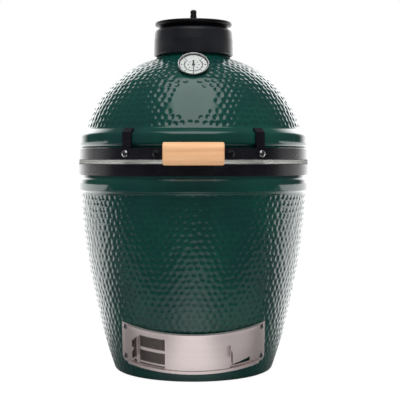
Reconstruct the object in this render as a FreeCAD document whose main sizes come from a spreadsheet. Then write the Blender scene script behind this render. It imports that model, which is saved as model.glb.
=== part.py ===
"""Kamado ceramic grill, a parametric FreeCAD document in millimetres.

Frame: +Z up, origin at the centre of the flat foot, front of the grill towards -Y.
The sheet "Sizes" holds the driving dimensions.  Each sub-part is one object of the
document, labelled with its own name, and is written to parts/NAME.step.
"""
import FreeCAD, Part
import math
import os
import Sketcher

DOC = FreeCAD.newDocument("KamadoGrill")
SHEET = DOC.addObject("Spreadsheet::Sheet", "Sizes")
Vector = FreeCAD.Vector
Rotation = FreeCAD.Rotation
X_AXIS = Vector(1, 0, 0)
Y_AXIS = Vector(0, 1, 0)
Z_AXIS = Vector(0, 0, 1)
SUBPARTS = []


# ---------------------------------------------------------------- sizes and expressions
class Size:
    """A length or angle: its number now, and the sheet expression that gives it."""

    def __init__(self, value, text):
        self.value = float(value)
        self.text = text

    def __add__(self, other):
        return joined(self, "+", other)

    def __radd__(self, other):
        return joined(other, "+", self)

    def __sub__(self, other):
        return joined(self, "-", other)

    def __rsub__(self, other):
        return joined(other, "-", self)

    def __mul__(self, other):
        return joined(self, "*", other)

    def __rmul__(self, other):
        return joined(other, "*", self)

    def __truediv__(self, other):
        return joined(self, "/", other)

    def __neg__(self):
        return joined(0, "-", self)


def as_size(number):
    """A plain number becomes a Size; a Size stays itself."""
    if isinstance(number, Size):
        return number
    return Size(number, "(%r)" % float(number))


def joined(left, sign, right):
    """The Size of left sign right."""
    a = as_size(left)
    b = as_size(right)
    results = {"+": a.value + b.value, "-": a.value - b.value, "*": a.value * b.value}
    if sign == "/":
        results["/"] = a.value / b.value
    return Size(results[sign], "(%s %s %s)" % (a.text, sign, b.text))


def root(size):
    """Square root of a Size."""
    return Size(math.sqrt(size.value), "sqrt(%s)" % size.text)


def sine(angle):
    """Sine of an angle in degrees."""
    angle = as_size(angle)
    return Size(math.sin(math.radians(angle.value)), "sin(%s)" % angle.text)


def cosine(angle):
    """Cosine of an angle in degrees."""
    angle = as_size(angle)
    return Size(math.cos(math.radians(angle.value)), "cos(%s)" % angle.text)


SHEET_ROW = [0]


def cell(alias, value, note):
    """Put one driving dimension in the sheet and return it as a Size."""
    SHEET_ROW[0] += 1
    row = SHEET_ROW[0]
    SHEET.set("A%d" % row, note)
    SHEET.set("B%d" % row, str(value))
    SHEET.setAlias("B%d" % row, alias)
    return Size(value, "Sizes.%s" % alias)


# ceramic shells
FOOT = cell("foot_radius", 152, "radius of the flat foot")
SIDE_R = cell("side_arc_radius", 1236, "radius of the base's side line")
SIDE_CR = cell("side_arc_centre_offset", -1007.4, "centre of that arc, from the axis")
SIDE_CZ = cell("side_arc_centre_height", 413.4, "centre of that arc, above the foot")
BASE_WALL = cell("base_wall", 17, "wall of the base")
FLOOR = cell("floor_thickness", 20, "floor of the base")
RIM_R = cell("rim_radius", 233, "smooth rims of base and dome")
BASE_RIM_LOW = cell("base_rim_low", 360, "lower edge of the base's rim")
BASE_RIM_TOP = cell("base_rim_top", 381, "upper edge of the base's rim")
BAND_SEAT = cell("band_seat_radius", 229.3, "groove of the base that holds its band")
BASE_TOP = cell("base_top", 411, "top face of the base")
SEAM = cell("seam_height", 415.5, "plane where the two felts meet")
DOME_LOW = cell("dome_low", 420, "lower face of the dome")
DOME_SEAT = cell("dome_seat_radius", 227.5, "groove of the dome that holds its band")
DOME_RIM_LOW = cell("dome_rim_low", 449, "lower edge of the dome's rim")
DOME_RIM_TOP = cell("dome_rim_top", 468, "upper edge of the dome's rim")
SHOULDER_R = cell("shoulder_radius", 218.6, "where the dome's curve starts")
SHOULDER_Z = cell("shoulder_height", 479, "where the dome's curve starts")
DOME_R = cell("dome_arc_radius", 199.1, "radius of the dome's curve")
DOME_CR = cell("dome_arc_centre_offset", 26.3, "centre of that curve, from the axis")
DOME_CZ = cell("dome_arc_centre_height", 427.3, "centre of that curve, above the foot")
DOME_WALL = cell("dome_wall", 16, "wall of the dome")
NECK_R = cell("neck_radius", 72, "chimney neck, outside")
NECK_BORE = cell("neck_bore_radius", 56, "chimney neck, inside")
NECK_TOP = cell("neck_top", 668, "top of the chimney neck")
NECK_FILLET = cell("neck_fillet", 12, "hollow curve between dome and neck")
# fire parts
FIRE_GAP = cell("fire_gap", 12, "air gap between base and fire parts")
FIRE_WALL = cell("fire_wall", 16, "wall of firebox and fire ring")
FIREBOX_TOP = cell("firebox_top", 268, "top of the firebox")
FIRE_RING_TOP = cell("fire_ring_top", 384, "top of the fire ring")
LEDGE_Z = cell("grate_ledge_height", 106, "ledge that carries the fire grate")
ASH_R = cell("ash_bore_radius", 86, "ash space below the fire grate")
GRATE_R = cell("fire_grate_radius", 97, "fire grate")
GRATE_T = cell("fire_grate_thickness", 8, "fire grate")
GRID_R = cell("cooking_grid_radius", 188, "cooking grid, to the middle of its hoop")
GRID_HOOP = cell("grid_hoop_wire", 3.5, "wire radius of the grid's hoop")
GRID_BAR = cell("grid_bar_wire", 2.4, "wire radius of the grid's bars")
GRID_PITCH = cell("grid_bar_pitch", 17, "distance between the grid's bars")
# bands and felt
BAND_T = cell("band_thickness", 3, "steel straps")
BAND_H = cell("band_height", 21, "steel straps")
BAND_GAP = cell("band_gap_angle", 7, "half of the gap at the back of each strap")
FELT_IN = cell("felt_inner_radius", 212.5, "felt rings")
FELT_OUT = cell("felt_outer_radius", 228, "felt rings")
PLAY = cell("play", 0.2, "clear space between mating faces")
# hinge
HINGE_Y = cell("hinge_pin_depth", 262, "hinge pin behind the axis")
PIN_R = cell("hinge_pin_radius", 5, "hinge pin")
PIN_PLAY = cell("running_clearance", 0.05, "radial clearance of turning fits")
EYE_R = cell("hinge_eye_radius", 11, "eyes round the hinge pin")
EAR_T = cell("hinge_ear_thickness", 4, "hinge ears")
EAR_OUT = cell("lower_ear_inner_face", 60, "inner face of the lower ears")
EAR_IN = cell("upper_ear_inner_face", 52, "inner face of the upper ears")
SPRING_WIRE = cell("hinge_spring_wire", 2.4, "wire radius of the lift springs")
SPRING_R = cell("hinge_spring_radius", 10.5, "mean radius of the lift springs")
NUT_FLATS = cell("pin_nut_flats", 17, "hinge pin nuts, across flats")
# handle
BRACKET_A = cell("bracket_angle", 31, "handle brackets, from the front")
BRACKET_W = cell("bracket_width", 18.5, "handle brackets")
BRACKET_T = cell("bracket_thickness", 4, "handle brackets")
GRIP_L = cell("grip_length", 109, "wooden grip")
GRIP_H = cell("grip_height", 41, "wooden grip")
GRIP_D = cell("grip_depth", 31, "wooden grip")
GRIP_FRONT = cell("grip_front", 286, "front face of the grip, before the axis")
GRIP_Z = cell("grip_centre_height", 430, "middle of the grip")
ARM_Z = cell("arm_centre_height", 430.5, "middle of the handle's arms")
ARM_H = cell("arm_height", 20, "handle's arms")
ARM_T = cell("arm_thickness", 4, "handle's arms")
ROD_R = cell("handle_rod_radius", 4, "rod through the grip")
# chimney cap
COLLAR_R = cell("collar_radius", 79.2, "cap collar")
COLLAR_BORE = cell("collar_bore_radius", 74.4, "cap collar, inside")
COLLAR_LOW = cell("collar_low", 627, "lower edge of the cap collar")
COLLAR_TOP = cell("collar_top", 681.8, "top face of the cap collar")
THROAT_R = cell("throat_radius", 52, "opening in the collar's top")
LID_R = cell("vent_plate_radius", 76.8, "vent plate on the collar")
LID_LOW = cell("vent_plate_low", 685.2, "underside of the vent plate")
LID_TOP = cell("vent_plate_top", 694, "top of the vent plate's edge")
ROTOR_R = cell("rotor_radius", 53.4, "turning disc of the vent plate")
VENT_HOLE = cell("vent_hole_radius", 10, "five holes in plate and disc")
VENT_PCR = cell("vent_hole_circle", 32, "circle of those holes")
SWING_Y = cell("swing_pin_depth", 61, "swing pin of the vent plate")
KNOB_TOP = cell("knob_top", 720, "top of the knob")
STUD_R = cell("knob_stud_radius", 3, "knob stud")
# thermometer
DIAL_Y = cell("dial_depth", -146, "centre of the dial")
DIAL_Z = cell("dial_height", 600.6, "centre of the dial")
DIAL_TILT = cell("dial_tilt", 49, "dial axis, from the vertical")
BEZEL_R = cell("bezel_radius", 29, "thermometer's bezel")
CASE_R = cell("case_radius", 28, "thermometer's case")
CASE_D = cell("case_depth", 10.5, "thermometer's case")
STEM_R = cell("stem_radius", 3.4, "thermometer's probe")
STEM_L = cell("stem_length", 84, "tip of the probe, behind the dial")
# draft door: everything lies on a cylinder tilted to follow the base's side
VENT_TILT = cell("draft_tilt", 17, "lean of the draft door's cylinder")
VENT_Z = cell("draft_axis_height", 112.7, "where its axis crosses the grill's axis")
VENT_R = cell("draft_plate_radius", 186.6, "inner face of the draft frame")
VENT_H = cell("draft_half_height", 40, "half height of the draft frame")
VENT_A = cell("draft_half_angle", 46.5, "half angle of the draft frame")
SHEET_T = cell("draft_sheet", 1, "steel sheet of frame and doors")
WINDOW_A = cell("draft_window_half_angle", 17, "window in the draft frame")
WINDOW_H = cell("draft_window_half_height", 25, "window in the draft frame")
PORT_DEPTH = cell("port_cut_depth", 60, "how far the port's cut reaches through the base's wall")
PORT_ROUND = cell("port_corner_radius", 10, "rounded corners of the port")
DOOR_RIGHT = cell("door_right_angle", 21, "right end of the solid door")
DOOR_LEFT = cell("door_left_angle", 16.3, "left end of the solid door")
SCREEN_LEFT = cell("screen_left_angle", 34.6, "left end of the ember screen")
SCREEN_RIGHT = cell("screen_right_angle", 2.5, "right end of the ember screen")
DOC.recompute()


# ---------------------------------------------------------------- building blocks
def bind(thing, name, size):
    """Set a property and bind it to the sheet."""
    size = as_size(size)
    setattr(thing, name, size.value)
    if "Sizes" in size.text:
        thing.setExpression(name, size.text)


def place(thing, at=(0, 0, 0), turn=None):
    """Put a thing at a point, turned by a Rotation; the point is bound to the sheet."""
    point = [as_size(c) for c in at]
    thing.Placement = FreeCAD.Placement(Vector(*[c.value for c in point]), turn or Rotation())
    for letter, size in zip("xyz", point):
        if "Sizes" in size.text:
            thing.setExpression("Placement.Base.%s" % letter, size.text)
    return thing


def subpart(thing, label):
    """Name a finished sub-part, which is written to its own file."""
    thing.Label = label
    SUBPARTS.append(thing)
    return thing


def origin_feature(body, role):
    """One of the origin planes or axes of a body."""
    return [f for f in body.Origin.OriginFeatures if f.Role == role][0]


class Bend:
    """An arc to the next corner: its radius, +1 turning left and -1 turning right."""

    def __init__(self, radius, turn):
        self.radius = as_size(radius)
        self.turn = turn


def arc_edge(start, end, bend):
    """The short arc of a Bend between two numeric points, and the sketch's vertex numbers."""
    along = end - start
    half = along.Length / 2
    side = Vector(-along.y, along.x, 0).normalize() * bend.turn
    rise = math.sqrt(max(bend.radius.value ** 2 - half ** 2, 0))
    centre = (start + end) * 0.5 + side * rise
    first, last = (start, end) if bend.turn > 0 else (end, start)
    angles = [math.atan2(p.y - centre.y, p.x - centre.x) for p in (first, last)]
    if angles[1] < angles[0]:
        angles[1] += 2 * math.pi
    circle = Part.Circle(centre, Z_AXIS, bend.radius.value)
    vertices = (1, 2) if bend.turn > 0 else (2, 1)
    return Part.ArcOfCircle(circle, angles[0], angles[1]), vertices


def pin_vertex(sketch, edge, vertex, corner):
    """Bind one vertex of a sketch to its corner's sizes."""
    for kind, level, size in (("DistanceX", "Vertical", corner[0]), ("DistanceY", "Horizontal", corner[1])):
        if abs(size.value) < 1e-9:
            sketch.addConstraint(Sketcher.Constraint(level, -1, 1, edge, vertex))
            continue
        row = sketch.addConstraint(Sketcher.Constraint(kind, -1, 1, edge, vertex, size.value))
        if "Sizes" in size.text:
            sketch.setExpression("Constraints[%d]" % row, size.text)


def outline(body, name, plane, path, offset=0):
    """A closed sketch of straight runs and arcs.  path lists corners and Bends."""
    sketch = body.newObject("Sketcher::SketchObject", name)
    sketch.AttachmentSupport = [(origin_feature(body, plane), "")]
    sketch.MapMode = "FlatFace"
    if isinstance(offset, Size) or offset:
        shift = as_size(offset)
        sketch.AttachmentOffset = FreeCAD.Placement(Vector(0, 0, shift.value), Rotation())
        if "Sizes" in shift.text:
            sketch.setExpression("AttachmentOffset.Base.z", shift.text)
    corners = []
    bends = {}
    for item in path:
        if isinstance(item, Bend):
            bends[len(corners) - 1] = item
        else:
            corners.append((as_size(item[0]), as_size(item[1])))
    points = [Vector(c[0].value, c[1].value, 0) for c in corners]
    ends = []
    for i, start in enumerate(points):
        end = points[(i + 1) % len(points)]
        if i in bends:
            curve, vertices = arc_edge(start, end, bends[i])
        else:
            curve, vertices = Part.LineSegment(start, end), (1, 2)
        ends.append((sketch.addGeometry(curve), vertices))
    for i, (edge, vertices) in enumerate(ends):
        next_edge, next_vertices = ends[(i + 1) % len(ends)]
        sketch.addConstraint(
            Sketcher.Constraint("Coincident", edge, vertices[1], next_edge, next_vertices[0]))
    for i, (edge, vertices) in enumerate(ends):
        pin_vertex(sketch, edge, vertices[0], corners[i])
        if i in bends:
            radius = bends[i].radius
            row = sketch.addConstraint(Sketcher.Constraint("Radius", edge, radius.value))
            if "Sizes" in radius.text:
                sketch.setExpression("Constraints[%d]" % row, radius.text)
    return sketch


def rings(body, name, plane, circles, offset=0):
    """A sketch of full circles, each (x, y, radius)."""
    sketch = body.newObject("Sketcher::SketchObject", name)
    sketch.AttachmentSupport = [(origin_feature(body, plane), "")]
    sketch.MapMode = "FlatFace"
    sketch.AttachmentOffset = FreeCAD.Placement(Vector(0, 0, as_size(offset).value), Rotation())
    for x, y, radius in circles:
        x, y, radius = as_size(x), as_size(y), as_size(radius)
        edge = sketch.addGeometry(Part.Circle(Vector(x.value, y.value, 0), Z_AXIS, radius.value))
        pin_vertex(sketch, edge, 3, (x, y))
        row = sketch.addConstraint(Sketcher.Constraint("Radius", edge, radius.value))
        if "Sizes" in radius.text:
            sketch.setExpression("Constraints[%d]" % row, radius.text)
    return sketch


def new_body(name):
    """An empty PartDesign body."""
    body = DOC.addObject("PartDesign::Body", name)
    body.Label = name
    return body


def turned(name, path, plane="XZ_Plane"):
    """A full revolution of a profile about the vertical axis."""
    body = new_body(name)
    feature = body.newObject("PartDesign::Revolution", name + "_turn")
    feature.Profile = outline(body, name + "_profile", plane, path)
    feature.ReferenceAxis = (feature.Profile[0], ["V_Axis"])
    feature.Angle = 360
    return body


def sector(body, name, path, right, left, cut=False):
    """Turn a profile in the front half-plane (first coordinate negative) about the vertical
    axis, from left degrees on one side of the front to right degrees on the other."""
    kind = "PartDesign::Groove" if cut else "PartDesign::Revolution"
    feature = body.newObject(kind, name)
    feature.Profile = outline(body, name + "_profile", "YZ_Plane", path)
    feature.ReferenceAxis = (feature.Profile[0], ["V_Axis"])
    feature.Type = "TwoAngles"
    bind(feature, "Angle", right)
    bind(feature, "Angle2", left)
    return feature


def padded(body, name, plane, path, length, offset=0):
    """Pad an outline by a length."""
    sketch = outline(body, name + "_profile", plane, path, offset)
    feature = body.newObject("PartDesign::Pad", name)
    feature.Profile = sketch
    bind(feature, "Length", length)
    return feature


def rectangle(x0, x1, y0, y1):
    """Corners of a rectangle, anticlockwise."""
    return [(x0, y0), (x1, y0), (x1, y1), (x0, y1)]


def round_piece(body, name, kind, radius, height, at=(0, 0, 0), turn=None):
    """An added or cut cylinder in a body; kind is Additive or Subtractive."""
    feature = body.newObject("PartDesign::%sCylinder" % kind, name)
    bind(feature, "Radius", radius)
    bind(feature, "Height", height)
    return place(feature, at, turn)


def box_piece(body, name, kind, size, at, turn=None):
    """An added or cut box in a body, from its low corner."""
    feature = body.newObject("PartDesign::%sBox" % kind, name)
    for prop, length in zip(("Length", "Width", "Height"), size):
        bind(feature, prop, length)
    return place(feature, at, turn)


def around(body, feature, count):
    """Repeat a feature round the vertical axis."""
    pattern = body.newObject("PartDesign::PolarPattern", feature.Name + "_ring")
    pattern.Originals = [feature]
    pattern.Axis = (origin_feature(body, "Z_Axis"), [""])
    pattern.Angle = 360
    pattern.Occurrences = count
    body.Tip = pattern
    return pattern


def group(label, bodies):
    """Identical small pieces as one sub-part of separate solids."""
    compound = DOC.addObject("Part::Compound", label)
    compound.Links = bodies
    return subpart(compound, label)


def outward(azimuth):
    """Rotation that points a piece's +Z away from the axis; azimuth 0 is the front,
    and grows towards +X."""
    return Rotation(Z_AXIS, azimuth - 90) * Rotation(Y_AXIS, 90)


def at_azimuth(radius, azimuth, height):
    """The point at a radius and height, at an azimuth measured from the front."""
    radius = as_size(radius)
    return (radius * sine(azimuth), -radius * cosine(azimuth), height)


def arc_radius_at(radius, height):
    """Distance from the axis of the base's side arc of that radius, at a height."""
    rise = height - SIDE_CZ
    return SIDE_CR + root(radius * radius - rise * rise)


def dome_radius_at(radius, height):
    """Distance from the axis of the dome's arc of that radius, at a height."""
    rise = height - DOME_CZ
    return DOME_CR + root(radius * radius - rise * rise)


def dome_height_at(radius, distance):
    """Height of the dome's arc of that radius, at a distance from the axis."""
    run = distance - DOME_CR
    return DOME_CZ + root(radius * radius - run * run)


def hexagon(across_flats):
    """Corners of a hexagon, anticlockwise, with two flats level."""
    half = as_size(across_flats) / 2
    corner = half / cosine(30)
    slope = corner / 2
    return [(corner, 0), (slope, half), (-slope, half), (-corner, 0), (-slope, -half), (slope, -half)]


def hex_bolt(name, shank_radius, shank_length, head_width, head_height):
    """A bolt along +Z: shank from -shank_length to 0 and a hexagon head above it."""
    body = new_body(name)
    padded(body, name + "_head", "XY_Plane", hexagon(head_width), head_height)
    round_piece(body, name + "_shank", "Additive", shank_radius, as_size(shank_length) + 1,
                (0, 0, -as_size(shank_length)))
    return body


def pan_screw(name, shank_radius, shank_length, head_radius, head_height):
    """A round-headed screw along +Z with a crowned head and a cross recess."""
    edge = head_height * 0.35
    path = [
        (0, -shank_length), (shank_radius, -shank_length), (shank_radius, 0), (head_radius, 0),
        (head_radius, edge), Bend(head_radius * 1.15, 1), (head_radius * 0.45, head_height),
        (0, head_height),
    ]
    body = turned(name, path)
    slot = head_radius * 1.1
    slot_width = 0.9
    slot_floor = head_height * 0.55
    for angle in (0, 90):
        turn = Rotation(Z_AXIS, angle)
        corner = turn.multVec(Vector(-slot / 2, -slot_width / 2, slot_floor))
        box_piece(body, "%s_slot%d" % (name, angle), "Subtractive", (slot, slot_width, head_height),
                  tuple(corner), turn)
    return body


# ---------------------------------------------------------------- ceramic shells
def make_base_shell():
    """The base: a turned bowl with a draft port and a flat seat for the draft frame."""
    foot_round = as_size(8)
    inner = SIDE_R - BASE_WALL
    under_rim = BASE_RIM_LOW - 6
    hollow_low = FLOOR + 18
    hollow_r = arc_radius_at(inner, hollow_low)
    path = [
        (0, 0), (FOOT, 0), Bend(9, 1), (arc_radius_at(SIDE_R, foot_round), foot_round),
        Bend(SIDE_R, 1), (arc_radius_at(SIDE_R, under_rim), under_rim),
        Bend(7, -1), (RIM_R, BASE_RIM_LOW), (RIM_R, BASE_RIM_TOP), (BAND_SEAT, BASE_RIM_TOP + 4),
        (BAND_SEAT, BASE_TOP), (arc_radius_at(inner, BASE_TOP), BASE_TOP),
        Bend(inner, -1), (hollow_r, hollow_low), Bend(19, -1), (hollow_r - 17, FLOOR), (0, FLOOR),
    ]
    bowl = turned("base_bowl", path)
    outer = DOC.addObject("Part::Cylinder", "seat_outer")
    inner_cylinder = DOC.addObject("Part::Cylinder", "seat_inner")
    for cylinder, radius in ((outer, VENT_R + 30), (inner_cylinder, VENT_R - 0.4)):
        bind(cylinder, "Radius", radius)
        bind(cylinder, "Height", VENT_H * 2 + 3)
        cylinder.Angle = 2 * VENT_A.value + 2
        low = Vector(0, 0, -VENT_H.value - 1.5)
        turn = Rotation(X_AXIS, VENT_TILT.value) * Rotation(Z_AXIS, -90 - VENT_A.value - 1)
        cylinder.Placement = FreeCAD.Placement(Vector(0, 0, VENT_Z.value) + turn.multVec(low), turn)
    ring = DOC.addObject("Part::Cut", "seat_ring")
    ring.Base = outer
    ring.Tool = inner_cylinder
    port = DOC.addObject("Part::Box", "port_block")
    width = VENT_R * sine(WINDOW_A) * 2
    bind(port, "Length", width)
    bind(port, "Width", PORT_DEPTH)
    bind(port, "Height", WINDOW_H * 2)
    turn = Rotation(X_AXIS, VENT_TILT.value)
    corner = Vector(-width.value / 2, -VENT_R.value - 10, -WINDOW_H.value)
    port.Placement = FreeCAD.Placement(Vector(0, 0, VENT_Z.value) + turn.multVec(corner), turn)
    rounded = DOC.addObject("Part::Fillet", "port_rounded")
    rounded.Base = port
    DOC.recompute()
    lengths = [edge.Length for edge in port.Shape.Edges]
    depth_edges = [i + 1 for i, length in enumerate(lengths) if abs(length - PORT_DEPTH.value) < 1e-6]
    corner_round = PORT_ROUND.value
    rounded.Edges = [(i, corner_round, corner_round) for i in depth_edges]
    cutters = DOC.addObject("Part::MultiFuse", "base_cutters")
    cutters.Shapes = [ring, rounded]
    shell = DOC.addObject("Part::Cut", "base_cut")
    shell.Base = bowl
    shell.Tool = cutters
    subpart(shell, "base_shell")


def make_dome_shell():
    """The dome: a turned bell with a chimney neck and a seat for the thermometer."""
    inner = DOME_R - DOME_WALL
    reach = DOME_R + NECK_FILLET
    run = NECK_R + NECK_FILLET - DOME_CR
    rise = root(reach * reach - run * run)
    path = [
        (dome_radius_at(inner, DOME_LOW), DOME_LOW), (DOME_SEAT, DOME_LOW), (DOME_SEAT, DOME_LOW + 23),
        (RIM_R, DOME_RIM_LOW), (RIM_R, DOME_RIM_TOP), (SHOULDER_R, SHOULDER_Z),
        Bend(DOME_R, 1), (DOME_CR + run * DOME_R / reach, DOME_CZ + rise * DOME_R / reach),
        Bend(NECK_FILLET, -1), (NECK_R, DOME_CZ + rise), (NECK_R, NECK_TOP), (NECK_BORE, NECK_TOP),
        (NECK_BORE, dome_height_at(inner, NECK_BORE)), Bend(inner, -1),
    ]
    body = turned("dome_shell", path)
    turn = Rotation(X_AXIS, DIAL_TILT.value)

    def behind_dial(depth):
        """The point on the dial's axis at a depth behind the dial."""
        return (0, DIAL_Y + sine(DIAL_TILT) * depth, DIAL_Z - cosine(DIAL_TILT) * depth)

    boss_radius = 21
    boss_height = 14
    seat_height = 26
    bore_length = 60
    seat_depth = CASE_D + 0.1
    round_piece(body, "gauge_boss", "Additive", boss_radius, boss_height,
                behind_dial(seat_depth + boss_height), turn)
    round_piece(body, "gauge_seat", "Subtractive", BEZEL_R + 0.6, seat_height,
                behind_dial(seat_depth), turn)
    round_piece(body, "gauge_bore", "Subtractive", STEM_R + 0.8, bore_length,
                behind_dial(CASE_D + 50), turn)
    subpart(body, "dome_shell")


def make_fire_parts():
    """Firebox, fire ring and fire grate, stacked inside the base."""
    outer = SIDE_R - BASE_WALL - FIRE_GAP
    inner = outer - FIRE_WALL
    low = FLOOR + PLAY
    path = [
        (ASH_R + 16, low), (118, low), (arc_radius_at(outer, as_size(52)), 52),
        Bend(outer, 1), (arc_radius_at(outer, FIREBOX_TOP), FIREBOX_TOP),
        (arc_radius_at(inner, FIREBOX_TOP), FIREBOX_TOP),
        Bend(inner, -1), (arc_radius_at(inner, LEDGE_Z + 26), LEDGE_Z + 26),
        (GRATE_R + 2, LEDGE_Z + 10), (GRATE_R + 2, LEDGE_Z), (ASH_R, LEDGE_Z), (ASH_R, LEDGE_Z - 14),
        (ASH_R + 16, LEDGE_Z - 32),
    ]
    firebox = turned("firebox", path)
    opening = (100, 90, 52)
    box_piece(firebox, "draft_opening", "Subtractive", opening, (-opening[0] / 2, -ASH_R - 75, 32))
    DOC.recompute()
    air_holes = 8
    azimuth = 180 / air_holes
    hole = round_piece(firebox, "air_hole", "Subtractive", 7, 100, at_azimuth(110, azimuth, 165),
                       outward(azimuth))
    around(firebox, hole, air_holes)
    subpart(firebox, "firebox")

    low = FIREBOX_TOP + PLAY
    path = [
        (arc_radius_at(inner, low), low), (arc_radius_at(outer, low), low), Bend(outer, 1),
        (arc_radius_at(outer, FIRE_RING_TOP), FIRE_RING_TOP),
        (arc_radius_at(inner, FIRE_RING_TOP), FIRE_RING_TOP), Bend(inner, -1),
    ]
    subpart(turned("fire_ring", path), "fire_ring")

    low = LEDGE_Z + PLAY
    grate = turned("fire_grate", rectangle(0, GRATE_R, low, low + GRATE_T))
    for ring, (distance, count) in enumerate(((24, 6), (47, 12), (71, 18))):
        hole = round_piece(grate, "grate_hole%d" % ring, "Subtractive", 6.5, 30,
                           (distance, 0, LEDGE_Z - 5))
        around(grate, hole, count)
    subpart(grate, "fire_grate")


def make_cooking_grid():
    """The cooking grid: a hoop with parallel bars and two cross bars."""
    height = FIRE_RING_TOP + GRID_HOOP + 0.3
    hoop = DOC.addObject("Part::Torus", "grid_hoop")
    bind(hoop, "Radius1", GRID_R)
    bind(hoop, "Radius2", GRID_HOOP)
    place(hoop, (0, 0, height))
    pieces = [hoop]
    bar_height = height + 2
    side_bars = 10
    for row in range(-side_bars, side_bars + 1):
        offset = GRID_PITCH * row
        half = root(GRID_R * GRID_R - offset * offset)
        bar = DOC.addObject("Part::Cylinder", "grid_bar_%d" % (row + side_bars))
        bind(bar, "Radius", GRID_BAR)
        bind(bar, "Height", half * 2)
        place(bar, (offset, half, bar_height), Rotation(X_AXIS, 90))
        pieces.append(bar)
    for side in (-1, 1):
        offset = GRID_R * side / 2
        half = root(GRID_R * GRID_R - offset * offset)
        bar = DOC.addObject("Part::Cylinder", "grid_cross_%d" % (side + 1))
        bind(bar, "Radius", GRID_HOOP)
        bind(bar, "Height", half * 2)
        place(bar, (-half, offset, height), Rotation(Y_AXIS, 90))
        pieces.append(bar)
    grid = DOC.addObject("Part::MultiFuse", "cooking_grid")
    grid.Shapes = pieces
    subpart(grid, "cooking_grid")


# ---------------------------------------------------------------- bands, felt and hinge
HINGE_BOLT_A = (170, 190)
HINGE_BOLT_HOLE = 3.2
HANDLE_BOLT_HOLE = 4.2


def strap(name, inner, low, holes):
    """A steel strap with a gap at the back and holes for its bolts."""
    body = new_body(name)
    half = 180 - BAND_GAP
    sector(body, name + "_strap", rectangle(-(inner + BAND_T), -inner, low, low + BAND_H), half, half)
    for i, azimuth in enumerate(holes):
        at = at_azimuth(inner.value - 4, azimuth, low + BAND_H / 2)
        hole = HINGE_BOLT_HOLE if azimuth in HINGE_BOLT_A else HANDLE_BOLT_HOLE
        round_piece(body, "%s_hole%d" % (name, i), "Subtractive", hole, 16, at, outward(azimuth))
    return subpart(body, name)


def make_bands():
    """The two straps and the two felt rings."""
    strap("lower_band", BAND_SEAT + PLAY, BASE_TOP - BAND_H, HINGE_BOLT_A)
    front = (-BRACKET_A.value, BRACKET_A.value)
    strap("upper_band", DOME_SEAT + PLAY, DOME_LOW, HINGE_BOLT_A + front)
    half_play = PLAY / 2
    lower = turned("lower_gasket", rectangle(FELT_IN, FELT_OUT, BASE_TOP, SEAM - half_play))
    subpart(lower, "lower_gasket")
    upper = turned("upper_gasket", rectangle(FELT_IN, FELT_OUT - 0.5, SEAM + half_play, DOME_LOW))
    subpart(upper, "upper_gasket")


def hinge_bracket(name, inner, low, high, half_angle, ear_face, ear):
    """A curved saddle at the back of a band, with two ears that carry the hinge pin."""
    body = new_body(name)
    front_view = rectangle(-(inner + BRACKET_T), -inner, low, high)
    saddle = sector(body, name + "_saddle", front_view, half_angle, half_angle)
    saddle.Profile[0].AttachmentOffset = FreeCAD.Placement(Vector(), Rotation(Y_AXIS, 180))
    for side, offset in (("right", ear_face), ("left", -(ear_face + EAR_T))):
        padded(body, "%s_%s_ear" % (name, side), "YZ_Plane", ear, EAR_T, offset)
        round_piece(body, "%s_%s_eye" % (name, side), "Additive", EYE_R, EAR_T,
                    (offset, HINGE_Y, SEAM), Rotation(Y_AXIS, 90))
    round_piece(body, name + "_bore", "Subtractive", PIN_R + PIN_PLAY, 160, (-80, HINGE_Y, SEAM),
                Rotation(Y_AXIS, 90))
    for i, azimuth in enumerate(HINGE_BOLT_A):
        at = at_azimuth(inner.value - 3, azimuth, (low + high) / 2)
        round_piece(body, "%s_hole%d" % (name, i), "Subtractive", HINGE_BOLT_HOLE, 16, at, outward(azimuth))
    return subpart(body, name)


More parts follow.
